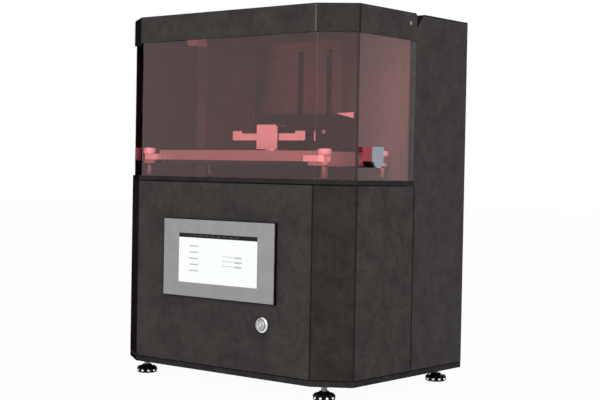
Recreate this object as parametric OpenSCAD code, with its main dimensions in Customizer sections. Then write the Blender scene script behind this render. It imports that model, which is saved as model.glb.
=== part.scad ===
// Desktop resin printer: a sheet-metal cabinet with slanted front corners, a rear-hinged tinted hood,
// a resin vat on four posts, a screw-driven build platform, and a touch screen on the front.
// The plan is drawn with the front panel at y = 0 and the floor at z = 0, and placed() then
// moves the bottom centre of the whole object to the origin.

/* [Cabinet] */
// Overall width across the side panels
body_w = 486; // [450:1:540]
// Depth from the front panel to the back panel
body_d = 340; // [330:1:380]
// Height from the underside of the bottom plate to the top of the lid
body_h = 580; // [570:1:640]
// Depth of the front section, up to its seam with the rear cabinet
front_d = 190; // [186:1:205]
// Height of the base, from the underside of the bottom plate to the deck
base_h = 305; // [285:1:315]
// Width that each slanted front corner takes off the front
corner_w = 55; // [40:1:62]
// Depth that each slanted front corner takes off the side
corner_d = 38; // [28:1:42]
// Sheet thickness of the panels
panel_t = 2; // [1.5:0.1:3]
// Visible gap between neighbouring panels
seam = 0.8; // [0.4:0.1:0.9]
// Thickness of the bottom plate
bottom_t = 9; // [6:0.5:12]
// Thickness of the deck, the floor of the print chamber
deck_t = 5; // [4:0.5:8]
// Side of the square frame uprights
upright_w = 20; // [15:1:25]
// Width of the inward flange on the front edge of each rear side
jamb_w = 30; // [28:1:36]
// Depth of the slant at the top front edge of the rear cabinet
notch_d = 21; // [20:0.5:28]
// Height of that slant
notch_h = 24; // [23:0.5:30]
// Width of the opening in the chamber's back wall
wall_open_w = 190; // [184:1:210]

/* [Hood] */
// Height of the lid
lid_h = 43; // [40:1:55]
// Wall of the lid
lid_t = 3; // [2:0.5:4]
// Height of the rim under the panes
rim_h = 8; // [6:0.5:12]
// Width of the rim
rim_w = 10; // [8:0.5:12]
// Thickness of the tinted panes
pane_t = 4; // [3:0.5:5]
// Length of pane that is held inside the lid
pane_lap = 12; // [8:1:14]
// Hinge pin diameter
pin_d = 6; // [5:0.5:8]
// Hinge pin's distance from the rear end of the hood
pin_back = 17; // [16:0.5:18]
// Hinge pin's depth below the top of the lid
pin_down = 17; // [16:0.5:18]
// Radius of the lid's rear top edge
lid_edge_r = 5; // [3:0.5:8]
// Length of the hinge cheeks at the rear of the lid
cheek_l = 41; // [34:1:50]
// Width of each hinge bracket
bracket_w = 22; // [16:1:26]

/* [Side grip] */
// Depth of the grip plate
grip_d = 25.5; // [22:0.5:36]
// Height of the grip plate
grip_h = 32; // [28:1:44]
// Thickness of the grip plate
grip_t = 4; // [3:0.5:8]
// Length of the spacer between the pane and the grip plate
spacer_l = 18; // [12:1:22]
// How far the spacer is set in from the edge of the grip plate
spacer_in = 0.5; // [0.5:0.5:4]
// Distance from the front to the middle of the grip
grip_y = 66; // [60:1:80]
// Height of the grip's top above the deck
grip_up = 60; // [50:1:90]

/* [Feet] */
// Height of the levelling feet, from the floor to the bottom plate
foot_h = 23; // [20:1:32]
// Distance across the lobes of a foot
foot_d = 35; // [30:1:42]
// Height of the lobed knob
foot_knob_h = 11; // [8:0.5:14]
// Lobes on each foot
foot_lobes = 10; // [6:1:12]
// Stud diameter
stud_d = 10; // [8:1:12]
// Front feet, distance from the side of the cabinet
foot_front_x = 50; // [45:1:75]
// Front feet, distance from the front of the cabinet
foot_front_y = 31; // [30:1:60]
// Rear feet, distance from the side of the cabinet
foot_rear_x = 31; // [30:1:75]
// Rear feet, distance from the back of the cabinet
foot_rear_y = 28; // [26:1:60]

/* [Touch screen] */
// Width of the screen's front frame
screen_w = 238; // [210:1:260]
// Height of the screen's front frame
screen_h = 125; // [110:1:140]
// Width of the lit display
display_w = 170; // [140:1:190]
// Height of the lit display
display_h = 80; // [70:1:90]
// Height of the screen's middle above the bottom plate's underside
screen_up = 182; // [175:1:200]
// How far the screen stands proud of the front panel
screen_proud = 7; // [5:0.5:10]
// Thickness of the grey front frame
bezel_t = 2.2; // [1.8:0.1:3]
// How far the black housing shows past the grey frame
housing_edge = 1.2; // [0.5:0.1:2]
// How far the housing is set in where it passes through the panel
housing_in = 8; // [5:1:10]
// Depth of the housing behind the front of the panel
housing_depth = 26; // [18:1:32]

/* [Power button] */
// Outer diameter of the button's ring
button_d = 25; // [22:0.5:28]
// How far the ring stands proud of the front panel
button_proud = 7; // [5:0.5:9]
// Diameter of the button's moving cap
button_cap_d = 17; // [13:0.5:18]
// How far the cap stands proud of its ring
button_cap_proud = 2.5; // [2:0.1:3.5]
// Travel of the cap
button_travel = 2; // [1:0.1:2]
// Distance of the button to the right of the middle
button_x = 95; // [70:1:120]
// Height of the button above the bottom plate's underside
button_up = 86; // [75:1:95]

/* [Vat] */
// Room between each end of the vat and the side of the cabinet
vat_room = 77; // [73:1:88]
// Depth of the vat
vat_d = 149; // [144:1:152]
// Distance from the front of the cabinet to the vat
vat_front = 27; // [25:0.5:29]
// Height of the vat's walls
vat_h = 23; // [19:1:30]
// Wall of the vat
vat_t = 5; // [3:0.5:6]
// Floor of the vat
vat_floor_t = 4; // [3:0.5:6]
// Height of the four posts under the vat
post_h = 30; // [24:1:36]
// Diameter of the posts
post_d = 12; // [10:1:14]
// Distance of the posts outside the vat's ends
post_out = 22; // [18:0.5:23]
// Thickness of the vat's ears
ear_t = 6; // [4:0.5:8]
// Radius of the round end of an ear
ear_r = 11; // [9:0.5:12]
// Height of the corner clamps
lug_h = 10; // [8:0.5:14]
// Diameter of the clamp knobs
knob_d = 22; // [18:1:24]
// Height of the clamp knobs
knob_h = 10; // [8:0.5:14]
// Screw diameter of the clamp knobs
knob_screw_d = 6; // [5:0.5:7]

/* [Platform and arm] */
// Distance from the front of the cabinet to the middle of the platform
platform_y = 104; // [100:1:108]
// Width of the build platform
platform_w = 192; // [150:1:200]
// Depth of the build platform
platform_d = 104; // [80:1:110]
// Thickness of the build platform
platform_t = 12; // [8:0.5:16]
// Gap between the platform and the vat's floor
platform_gap = 2.5; // [1.5:0.1:4]
// Distance from the front of the cabinet to the clamp block
block_y = 112; // [108:1:116]
// Width of the clamp block
block_w = 45; // [36:1:56]
// Depth of the clamp block
block_d = 26; // [24:1:34]
// Height of the clamp block
block_h = 41; // [36:1:50]
// Bevel on one top edge of the clamp block
block_bevel = 4; // [2:0.5:6]
// Diameter of the neck between the platform and the clamp block
neck_d = 22; // [16:1:24]
// Length of the neck
neck_h = 8; // [6:0.5:14]
// Length of the crossbar
crossbar_w = 158; // [140:1:180]
// Height of the crossbar
crossbar_h = 12; // [10:0.5:16]
// Thickness of the crossbar
crossbar_t = 10; // [8:0.5:12]
// Length of each raised end of the crossbar
crossbar_end_l = 21; // [15:1:28]
// Rise of the crossbar's ends
crossbar_end_h = 4; // [2:0.5:6]
// Width of the arm between the clamp block and the carriage head
arm_w = 28; // [22:1:34]
// Height of that arm
arm_h = 30; // [26:1:36]
// Width of the carriage head
head_w = 176; // [160:1:180]
// Depth of the carriage head
head_d = 24; // [18:1:30]
// Height of the carriage head
head_h = 66; // [58:1:72]
// Fall of the head's crowned top from its middle to its ends
head_crown = 6; // [3:0.5:9]
// Distance between the middles of the head's two legs
leg_span = 62; // [56:1:76]
// Thickness of each leg
leg_t = 8; // [6:0.5:10]

/* [Lift] */
// Room above the carriage head at the top of its travel, up to the slant of the rear cabinet
travel_room = 22.5; // [20:0.5:40]
// Diameter of the lead screw
screw_d = 12; // [8:1:14]
// Width of the linear rails
rail_w = 12; // [9:1:15]
// Height of the linear rails
rail_h = 8; // [6:0.5:10]
// Distance between the middles of the two rails
rail_span = 98; // [96:1:110]
// Distance from the seam to the slotted cover of the lift
cover_back = 46; // [42:1:52]
// Width of the slotted cover
cover_w = 216; // [212:1:240]
// Width of the carriage plate
carriage_w = 132; // [128:1:150]
// Height of the carriage plate
carriage_h = 74; // [70:1:80]
// Side of the motor
motor_w = 42.3; // [35:0.1:46]
// Length of the motor
motor_l = 47; // [34:1:60]

/* [Inside the base] */
// Width and depth of the light engine
engine_w = 130; // [110:1:140]
// Height of the light engine
engine_h = 118; // [90:1:130]
// Diameter of the projection lens
lens_d = 48; // [36:1:60]
// Length of the projection lens
lens_l = 38; // [30:1:60]
// Width of the exposure window's opening in the deck
window_w = 206; // [160:1:212]
// Depth of the exposure window's opening in the deck
window_d = 116; // [90:1:120]
// Thickness of the exposure window
window_t = 3; // [2:0.5:3.5]

/* [Rear services] */
// Side of the fan
fan_w = 80; // [60:1:92]
// Depth of the fan
fan_t = 25; // [20:1:30]
// Distance of the fan's middle from the left side of the cabinet, seen from the front
fan_in = 123; // [93:1:133]
// Height of the fan's middle above the bottom plate's underside
fan_up = 150; // [120:1:180]
// Distance of the mains inlet's middle from the right side of the cabinet
inlet_in = 113; // [93:1:133]
// Height of the mains inlet's middle above the bottom plate's underside
inlet_up = 70; // [60:1:90]
// Width of the inlet's flange
inlet_w = 30; // [29:1:36]
// Height of the inlet's flange
inlet_h = 62; // [60:1:70]
// Thickness of the inlet's flange
inlet_t = 3; // [2:0.5:4]

/* [Hidden] */
$fn = 64;
run_fit = 0.05;   // radial clearance of a pin or shaft that turns in its bore
slide_fit = 0.3;  // clearance between faces that slide past each other
sheet_fit = 0.3;  // clearance between sheets that are bolted edge to edge
cut = 1;          // how far a cutter runs past the face that it cuts

// Heights above the floor
plate_z = foot_h;
floor_in = plate_z + bottom_t;
panel_z = floor_in + seam;
deck_z = plate_z + base_h;
panel_h = deck_z - panel_z;
top_z = plate_z + body_h;
rear_side_h = top_z - panel_t;
lid_z = top_z - lid_h;
rim_z = deck_z + seam;
pane_z = rim_z + rim_h;
notch_z = top_z - notch_h;
pin_z = top_z - pin_down;

// Places in the plan
side_x = body_w / 2;
front_half = side_x - corner_w;
corner_len = sqrt(corner_w * corner_w + corner_d * corner_d);
hood_end = front_d - seam / 2;
rear_y = front_d + seam / 2;
pin_y = hood_end - pin_back;
back_in = body_d - panel_t;
fan_x = side_x - fan_in;
inlet_x = side_x - inlet_in;
cover_y = rear_y + cover_back;

// Vat and platform
vat_w = body_w - 2 * vat_room;
post_x = vat_w / 2 + post_out;
post_ys = [vat_front, vat_front + vat_d];
vat_z = deck_z + post_h;
floor_z = vat_z + vat_floor_t;
lug_z = vat_z + ear_t;
knob_z = lug_z + lug_h + slide_fit;
knob_reach = 12;
film_t = 0.8;
film_lip = 12;
platform_z = floor_z + platform_gap;
block_z = platform_z + platform_t + neck_h;
block_back = block_y + block_d;
block_wall = 3;
crossbar_y = block_y + block_wall;
crossbar_up = 14.5;
arm_up = 7;
head_down = 4;
crossbar_z = block_z + crossbar_up;
arm_z = block_z + arm_up;
head_z = block_z - head_down;
head_y = rear_y - slide_fit;
head_top = head_z + head_h;
z_travel = notch_z - head_top - travel_room;

// Lift, set out from the back panel
column_gap = 4;
column_t = 8;
channel_d = 16;
column_back = back_in - column_gap;
column_face = column_back - column_t - channel_d;
rail_seat_w = 22;
column_w = rail_span + rail_seat_w;
channel_w = rail_span - rail_seat_w;
column_room = 3;
column_top = notch_z - column_room;
rail_y = column_face - rail_h;
rail_up = 12;
rail_down = 6;
rail_low = deck_z + rail_up;
rail_top = column_top - rail_down;
carriage_lift = 5;
carriage_t = 10;
carriage_back = rail_y - carriage_lift;
carriage_y = carriage_back - carriage_t;
carriage_down = 12;
carriage_z = block_z - carriage_down;
screw_in = 4;
screw_y = column_face + screw_in;
coupling_up = 3;
coupling_z = deck_z + coupling_up;
coupling_h = 20;
coupling_d = 20;
bearing_w = 60;
bearing_h = 14;
bearing_d = channel_d + rail_h;
bearing_low_z = coupling_z + coupling_h + slide_fit;
bearing_top_z = rail_top - bearing_h;

// Places of repeated pieces
foot_xy = [
  [-side_x + foot_front_x, foot_front_y], [side_x - foot_front_x, foot_front_y],
  [-side_x + foot_rear_x, body_d - foot_rear_y], [side_x - foot_rear_x, body_d - foot_rear_y]
];
knob_xy = [[-post_x, post_ys[0]], [post_x, post_ys[0]], [-post_x, post_ys[1]], [post_x, post_ys[1]]];
upright_mid = upright_w / 2;
upright_in = 4;
upright_xy = [
  [front_half - upright_mid - upright_in, panel_t + upright_mid],
  [side_x - panel_t - upright_mid, front_d - upright_mid - 2],
  [side_x - panel_t - upright_mid, back_in - upright_mid]
];

// Reach past the plan on each side, which sets the origin
grip_x = side_x - lid_t;
reach_right = grip_x + spacer_l + grip_t - side_x;
reach_front = max(button_proud + button_cap_proud, screen_proud);
reach_back = inlet_t;
module placed() translate([-reach_right / 2, (reach_front - reach_back - body_d) / 2, 0]) children();

// Plan outline, inset by i: where the front meets a slanted corner, and a slanted corner a side
function front_pt(i) = [
  front_half - i * corner_d / corner_len + i * (1 - corner_w / corner_len) * corner_w / corner_d, i
];
function side_pt(i) = [
  side_x - i, i * corner_w / corner_len + (corner_w - i + i * corner_d / corner_len) * corner_d / corner_w
];
function flip(p) = [-p[0], p[1]];
function along_corner(l) = [corner_w, corner_d] / corner_len * l;

module both() { children(); mirror([1, 0, 0]) children(); }

// Plan of the cabinet inset by i, back to y1
module plan(i, y1)
  polygon([
    front_pt(i), side_pt(i), [side_x - i, y1], [-side_x + i, y1], flip(side_pt(i)), flip(front_pt(i))
  ]);

// Plan of one wall between the insets a and b, with half a gap left at each end that meets another
module front_strip(a, b, gap = 0)
  polygon([
    [-front_pt(a)[0] + gap / 2, a], [front_pt(a)[0] - gap / 2, a],
    [front_pt(b)[0] - gap / 2, b], [-front_pt(b)[0] + gap / 2, b]
  ]);
module corner_strip(a, b, gap = 0)
  polygon([
    front_pt(a) + along_corner(gap / 2), side_pt(a) - along_corner(gap / 2),
    side_pt(b) - along_corner(gap / 2), front_pt(b) + along_corner(gap / 2)
  ]);
module side_strip(a, b, y1)
  polygon([side_pt(a), [side_x - a, y1], [side_x - b, y1], side_pt(b)]);
module bent_strip(a, b, y1, gap)
  polygon([
    front_pt(a) + along_corner(gap / 2), side_pt(a), [side_x - a, y1],
    [side_x - b, y1], side_pt(b), front_pt(b) + along_corner(gap / 2)
  ]);

// A box from its lowest corner, a box centred on the middle plane, and rods along y and x
module box_at(low, size) translate(low) cube(size);
module mid_box(w, y, z, d, h) translate([-w / 2, y, z]) cube([w, d, h]);
module rod_y(d, l) rotate([-90, 0, 0]) cylinder(d = d, h = l);
module rod_x(d, l) rotate([0, 90, 0]) cylinder(d = d, h = l);
// A side profile, drawn with the plan's y and z, given the width w along x
module side_profile(x0, w) translate([x0, 0, 0]) rotate([90, 0, 90]) linear_extrude(w) children();
// A front profile, drawn with the plan's x and z, given the depth d along y
module front_profile(y0, d) translate([0, y0 + d, 0]) rotate([90, 0, 0]) linear_extrude(d) children();

// Cabinet
module bottom_plate()
  color("#2b2b2a") difference() {
    translate([0, 0, plate_z]) linear_extrude(bottom_t) plan(0, body_d);
    for (p = foot_xy)
      translate([p[0], p[1], plate_z - cut]) cylinder(d = stud_d + 2 * run_fit, h = bottom_t + 2 * cut);
  }

module frame_uprights()
  color("#9a9a98") both() for (p = upright_xy)
    box_at(
      [p[0] - upright_mid, p[1] - upright_mid, floor_in],
      [upright_w, upright_w, deck_z - deck_t - floor_in]
    );

screen_z = plate_z + screen_up;
button_z = plate_z + button_up;
housing_w = screen_w - 2 * housing_in;
housing_h = screen_h - 2 * housing_in;
ring_rim = 1.5;
barrel_d = button_d - 2 * ring_rim;
module front_panel()
  color("#3b3a38") difference() {
    translate([0, 0, panel_z]) linear_extrude(panel_h) front_strip(0, panel_t, seam);
    mid_box(
      housing_w + 2 * slide_fit, -cut, screen_z - housing_h / 2 - slide_fit,
      panel_t + 2 * cut, housing_h + 2 * slide_fit
    );
    translate([button_x, -cut, button_z]) rod_y(barrel_d + 2 * slide_fit, panel_t + 2 * cut);
  }

module side_panels()
  color("#3c3b39") both() translate([0, 0, panel_z]) linear_extrude(panel_h)
    bent_strip(0, panel_t, rear_y - seam, seam);

// Each rear side has its top front corner slanted off, and a flange beside the chamber's wall
module rear_sides()
  color("#403f3d") both() {
    side_profile(side_x - panel_t, panel_t) polygon([
      [rear_y, panel_z], [body_d, panel_z], [body_d, rear_side_h],
      [rear_y + notch_d * (1 - panel_t / notch_h), rear_side_h], [rear_y, notch_z]
    ]);
    box_at([side_x - jamb_w, rear_y, deck_z], [jamb_w - panel_t / 2, panel_t, notch_z - deck_z]);
  }

// Slots of the air grille, clipped to the round of the fan
grille_in = 3;
grille_d = fan_w - 2 * grille_in;
slot_h = 4;
slot_step = 7;
slot_count = floor(grille_d / 2 / slot_step);
fan_z = plate_z + fan_up;
module grille_slots()
  intersection() {
    translate([-fan_x, back_in - cut, fan_z]) rod_y(grille_d, panel_t + 2 * cut);
    for (k = [-slot_count:slot_count])
      box_at(
        [-fan_x - grille_d / 2, back_in - cut, fan_z + k * slot_step - slot_h / 2],
        [grille_d, panel_t + 2 * cut, slot_h]
      );
  }

inlet_z = plate_z + inlet_up;
inlet_side = 2;
inlet_end = 5;
module back_panel()
  color("#363533") difference() {
    mid_box(
      body_w - 2 * panel_t - 2 * sheet_fit, back_in, panel_z,
      panel_t, rear_side_h - panel_z - sheet_fit
    );
    grille_slots();
    box_at(
      [inlet_x - inlet_w / 2 + inlet_side, back_in - cut, inlet_z - inlet_h / 2 + inlet_end],
      [inlet_w - 2 * inlet_side, panel_t + 2 * cut, inlet_h - 2 * inlet_end]
    );
  }

// One bent sheet: the top of the rear cabinet, and the slant that the open hood leans on
slant_len = sqrt(notch_d * notch_d + notch_h * notch_h);
slant_in = panel_t * slant_len / notch_h;
bend_in = panel_t * (slant_len - notch_d) / notch_h;
module rear_top_cover()
  color("#2f2f2d") {
    box_at(
      [-side_x, rear_y + notch_d, rear_side_h], [body_w, body_d - rear_y - notch_d, panel_t]
    );
    side_profile(-side_x + panel_t + sheet_fit, body_w - 2 * panel_t - 2 * sheet_fit) polygon([
      [rear_y, notch_z], [rear_y + notch_d, top_z], [rear_y + notch_d + slant_in, top_z],
      [rear_y + notch_d + slant_in, rear_side_h], [rear_y + notch_d + bend_in, rear_side_h],
      [rear_y + slant_in, notch_z]
    ]);
  }

window_lip = 5;
coupling_room = 4;
module deck_plate()
  color("#33312f") difference() {
    translate([0, 0, deck_z - deck_t]) linear_extrude(deck_t)
      plan(panel_t + sheet_fit, back_in - sheet_fit);
    mid_box(window_w, platform_y - window_d / 2, deck_z - deck_t - cut, window_d, deck_t + 2 * cut);
    mid_box(
      window_w + 2 * window_lip, platform_y - window_d / 2 - window_lip, deck_z - window_t,
      window_d + 2 * window_lip, window_t + cut
    );
    translate([0, screw_y, deck_z - deck_t - cut])
      cylinder(d = coupling_d + coupling_room, h = deck_t + 2 * cut);
  }

module exposure_window()
  color("#9fb4bd", 0.5) mid_box(
    window_w + 2 * window_lip - 2 * sheet_fit, platform_y - window_d / 2 - window_lip + sheet_fit,
    deck_z - window_t, window_d + 2 * window_lip - 2 * sheet_fit, window_t
  );

wall_sill = 30;
wall_head = 10;
module chamber_wall()
  color("#3a3735") difference() {
    mid_box(
      body_w - 2 * jamb_w - 2 * sheet_fit, rear_y, deck_z, panel_t, notch_z - deck_z - sheet_fit
    );
    mid_box(
      wall_open_w, rear_y - cut, deck_z + wall_sill, panel_t + 2 * cut,
      notch_z - deck_z - wall_sill - wall_head
    );
  }

// The legs of the carriage head pass through two slots in the cover
leg_room = 2;
slot_low = head_z - leg_room;
slot_top = head_top + z_travel + leg_room;
module column_cover()
  color("#8f8a87") difference() {
    mid_box(cover_w, cover_y, deck_z, panel_t, notch_z - deck_z);
    both() box_at(
      [leg_span / 2 - leg_t / 2 - leg_room, cover_y - cut, slot_low],
      [leg_t + 2 * leg_room, panel_t + 2 * cut, slot_top - slot_low]
    );
  }

screw_head_d = 7;
screw_head_h = 2;
screw_inset = 14;
back_screw_xs = [-side_x + screw_inset, 0, side_x - screw_inset];
back_screw_zs = [panel_z + screw_inset, deck_z - deck_t - screw_inset, rear_side_h - screw_inset];
module panel_screws()
  color("#222222") for (x = back_screw_xs, z = back_screw_zs)
    translate([x, body_d, z]) rod_y(screw_head_d, screw_head_h);

// Hinge: a bracket on each jamb holds a pin, and the hood's cheeks turn on the pins
bracket_x = side_x - lid_t - pane_t - slide_fit - bracket_w;
bracket_r = 11;
bracket_drop = 14;
pin_in = 2;
module hinge_brackets()
  color("#c9c6c2") both() difference() {
    side_profile(bracket_x, bracket_w) {
      translate([pin_y, pin_z]) circle(r = bracket_r);
      translate([pin_y - bracket_r, pin_z - bracket_drop])
        square([rear_y - pin_y + bracket_r, bracket_drop]);
    }
    translate([bracket_x - cut, pin_y, pin_z]) rod_x(pin_d, bracket_w + 2 * cut);
  }

module hinge_pins()
  color("#d8d6d2") both() translate([bracket_x + pin_in, pin_y, pin_z])
    rod_x(pin_d, side_x - bracket_x - pin_in);

// Touch screen: a black housing through the panel, a grey frame on it, and the display in the frame
display_t = 1.2;
display_fit = 0.1;
module screen_housing()
  color("#151515") {
    mid_box(
      screen_w + 2 * housing_edge, -screen_proud + bezel_t, screen_z - screen_h / 2 - housing_edge,
      screen_proud - bezel_t, screen_h + 2 * housing_edge
    );
    mid_box(housing_w, -bezel_t, screen_z - housing_h / 2, housing_depth + bezel_t, housing_h);
  }

module screen_bezel()
  color("#97989a") difference() {
    mid_box(screen_w, -screen_proud, screen_z - screen_h / 2, bezel_t, screen_h);
    mid_box(display_w, -screen_proud - cut, screen_z - display_h / 2, bezel_t + 2 * cut, display_h);
  }

module screen_display()
  color("#f4f6f7") mid_box(
    display_w - 2 * display_fit, -screen_proud + bezel_t - display_t,
    screen_z - display_h / 2 + display_fit, display_t, display_h - 2 * display_fit
  );

// Power button: ring and barrel through the panel, a nut behind it, and a sprung cap
button_well = 14;
button_bottom = 1;
barrel_l = 24;
nut_t = 5;
nut_rim = 5;
module button_housing()
  color("#dcdcda") difference() {
    translate([button_x, 0, button_z]) {
      translate([0, -button_proud, 0]) rod_y(button_d, button_proud);
      rod_y(barrel_d, barrel_l);
      translate([0, panel_t, 0]) rod_y(button_d + nut_rim, nut_t);
    }
    translate([button_x, -button_proud - cut, button_z])
      rod_y(button_cap_d + 2 * slide_fit, button_well + cut);
  }

module button_cap()
  color("#e6e6e4") translate([button_x, -button_proud - button_cap_proud, button_z])
    rod_y(button_cap_d, button_cap_proud + button_well - button_travel - button_bottom);

// Vat: four posts, a tray with ears on them, the film under its floor, and clamps round its corners
module at_posts()
  both() for (k = [0, 1]) translate([post_x, post_ys[k], 0]) mirror([0, k, 0]) children();

module vat_posts()
  color("#c8a29c") at_posts() difference() {
    translate([0, 0, deck_z]) cylinder(d = post_d, h = post_h);
    translate([0, 0, vat_z - knob_reach - cut])
      cylinder(d = knob_screw_d + 2 * run_fit, h = knob_reach + 2 * cut);
  }

film_side = 7;
film_end = 6;
film_open_w = platform_w + 2 * film_side;
film_open_d = platform_d + 2 * film_end;
ear_lap = 8;
module vat_tray()
  color("#b98a86") difference() {
    union() {
      mid_box(vat_w, vat_front, vat_z, vat_d, vat_h);
      at_posts() {
        box_at([-post_out - ear_lap, -ear_r, vat_z], [post_out + ear_lap, 2 * ear_r, ear_t]);
        translate([0, 0, vat_z]) cylinder(r = ear_r, h = ear_t);
      }
    }
    mid_box(vat_w - 2 * vat_t, vat_front + vat_t, floor_z, vat_d - 2 * vat_t, vat_h);
    mid_box(film_open_w, platform_y - film_open_d / 2, vat_z - cut, film_open_d, vat_floor_t + 2 * cut);
    at_posts() translate([0, 0, vat_z - cut]) cylinder(d = knob_screw_d + 2 * run_fit, h = ear_t + 2 * cut);
  }

module vat_film()
  color("#d9d2c8", 0.5) mid_box(
    film_open_w + 2 * film_lip, platform_y - film_open_d / 2 - film_lip, vat_z - film_t,
    film_open_d + 2 * film_lip, film_t
  );

// Seen from above, a clamp hugs the vat's corner, and its outer corner is cut clear of the pane
lug_front = 13;
lug_back = 9;
lug_out = 5;
lug_cut = 6;
module vat_lugs()
  color("#d79a92") at_posts() difference() {
    translate([0, 0, lug_z]) linear_extrude(lug_h) polygon([
      [-post_out - ear_lap, -lug_front], [lug_out - lug_cut, -lug_front], [lug_out, -lug_front + lug_cut],
      [lug_out, lug_back], [-post_out + sheet_fit, lug_back], [-post_out + sheet_fit, -sheet_fit],
      [-post_out - ear_lap, -sheet_fit]
    ]);
    translate([0, 0, lug_z - cut]) cylinder(d = knob_screw_d + 2 * run_fit, h = lug_h + 2 * cut);
  }

module vat_knob(p)
  color("#e39a92") translate([p[0], p[1], 0]) {
    translate([0, 0, knob_z]) cylinder(d = knob_d, h = knob_h);
    translate([0, 0, vat_z - knob_reach])
      cylinder(d = knob_screw_d, h = knob_z - vat_z + knob_reach + knob_h / 2);
  }
module vat_knob_front_left() vat_knob(knob_xy[0]);
module vat_knob_front_right() vat_knob(knob_xy[1]);
module vat_knob_rear_left() vat_knob(knob_xy[2]);
module vat_knob_rear_right() vat_knob(knob_xy[3]);

// Lift: a channel column on the deck, two rails, a motor under the deck, and the screw between bearings
module z_column()
  color("#5b5a58") translate([0, 0, deck_z]) linear_extrude(column_top - deck_z) difference() {
    translate([-column_w / 2, column_face]) square([column_w, column_back - column_face]);
    translate([-channel_w / 2, column_face - cut]) square([channel_w, channel_d + cut]);
  }

module z_rails()
  color("#c3c6c9") both()
    box_at([rail_span / 2 - rail_w / 2, rail_y, rail_low], [rail_w, rail_h, rail_top - rail_low]);

pilot_d = 8;
pilot_l = 12;
motor_shaft_d = 5;
module z_motor()
  color("#222222") difference() {
    mid_box(motor_w, screw_y - motor_w / 2, deck_z - deck_t - motor_l, motor_w, motor_l);
    translate([0, screw_y, deck_z - deck_t - pilot_l]) cylinder(d = pilot_d, h = pilot_l + cut);
  }

module screw_bearings()
  color("#8e9092") difference() {
    for (z = [bearing_low_z, bearing_top_z])
      mid_box(bearing_w, column_back - column_t - bearing_d, z, bearing_d, bearing_h);
    translate([0, screw_y, deck_z]) cylinder(d = screw_d + 2 * run_fit, h = column_top - deck_z);
  }

module lead_screw()
  color("#cfd1d2") translate([0, screw_y, coupling_z + coupling_h / 2])
    cylinder(d = screw_d, h = bearing_top_z + bearing_h - coupling_z - coupling_h / 2);

shaft_end = 2;
module shaft_coupling()
  color("#b5b8ba") translate([0, screw_y, 0]) difference() {
    union() {
      translate([0, 0, coupling_z]) cylinder(d = coupling_d, h = coupling_h);
      translate([0, 0, deck_z - deck_t - pilot_l + shaft_end])
        cylinder(d = motor_shaft_d, h = coupling_z - deck_z + deck_t + pilot_l);
    }
    translate([0, 0, coupling_z + coupling_h / 2]) cylinder(d = screw_d, h = coupling_h);
  }

// Carriage: a plate on four bearing blocks, the nut behind it, and a head on two legs in front
module carriage_plate()
  color("#474645") mid_box(carriage_w, carriage_y, carriage_z, carriage_t, carriage_h);

block_len = 32;
block_side = 27;
block_end = 2;
module carriage_blocks()
  color("#a7aaad") both()
    for (z = [carriage_z + block_end, carriage_z + carriage_h - block_len - block_end]) difference() {
      box_at(
        [rail_span / 2 - block_side / 2, carriage_back, z],
        [block_side, carriage_lift + rail_h - block_end, block_len]
      );
      box_at(
        [rail_span / 2 - rail_w / 2 - slide_fit, rail_y - slide_fit, z - cut],
        [rail_w + 2 * slide_fit, rail_h + cut, block_len + 2 * cut]
      );
    }

nut_w = 40;
nut_h = 30;
nut_up = 20;
nut_room = 2;
module screw_nut()
  color("#b9a468") difference() {
    mid_box(
      nut_w, carriage_back, carriage_z + nut_up,
      column_back - column_t - nut_room - carriage_back, nut_h
    );
    translate([0, screw_y, carriage_z]) cylinder(d = screw_d + 2 * run_fit, h = carriage_h);
  }

// The head's top is an arc that falls by head_crown from its middle to its ends
crown_r = (head_w * head_w / 4 + head_crown * head_crown) / (2 * head_crown);
leg_h = head_h - 2 * head_crown;
module carriage_head()
  color("#2f2c2b") {
    front_profile(head_y, head_d) intersection() {
      translate([-head_w / 2, head_z]) square([head_w, head_h]);
      translate([0, head_top - crown_r]) circle(r = crown_r, $fn = 360);
    }
    both() box_at(
      [leg_span / 2 - leg_t / 2, head_y + head_d / 2, head_z],
      [leg_t, carriage_y - head_y - head_d / 2, leg_h]
    );
  }

// The arm's tongue holds the crossbar in the block's slot
tongue_y = crossbar_y + crossbar_t;
module platform_arm()
  color("#34302f") {
    mid_box(arm_w, block_back, arm_z, head_y - block_back, arm_h);
    mid_box(arm_w, tongue_y, crossbar_z, block_back - tongue_y + cut, crossbar_h);
  }

module arm_crossbar()
  color("#f0958c") {
    mid_box(crossbar_w, crossbar_y, crossbar_z, crossbar_t, crossbar_h);
    both() box_at(
      [crossbar_w / 2 - crossbar_end_l, crossbar_y, crossbar_z],
      [crossbar_end_l, crossbar_t, crossbar_h + crossbar_end_h]
    );
  }

module platform_block()
  color("#e59aa8") difference() {
    front_profile(block_y, block_d) polygon([
      [-block_w / 2, block_z], [block_w / 2, block_z], [block_w / 2, block_z + block_h - block_bevel],
      [block_w / 2 - block_bevel, block_z + block_h], [-block_w / 2, block_z + block_h]
    ]);
    mid_box(block_w + 2 * cut, crossbar_y, crossbar_z, block_d, crossbar_h);
  }

module build_platform()
  color("#bfc2c4") {
    mid_box(platform_w, platform_y - platform_d / 2, platform_z, platform_d, platform_t);
    translate([0, block_y + block_d / 2, platform_z + platform_t / 2])
      cylinder(d = neck_d, h = platform_t / 2 + neck_h);
  }

// Light engine and electronics in the base
module projector_body()
  color("#e2e2df") mid_box(engine_w, platform_y - engine_w / 2, floor_in, engine_w, engine_h);

module projector_lens()
  color("#1b1d22") translate([0, platform_y, floor_in + engine_h]) cylinder(d = lens_d, h = lens_l);

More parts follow.
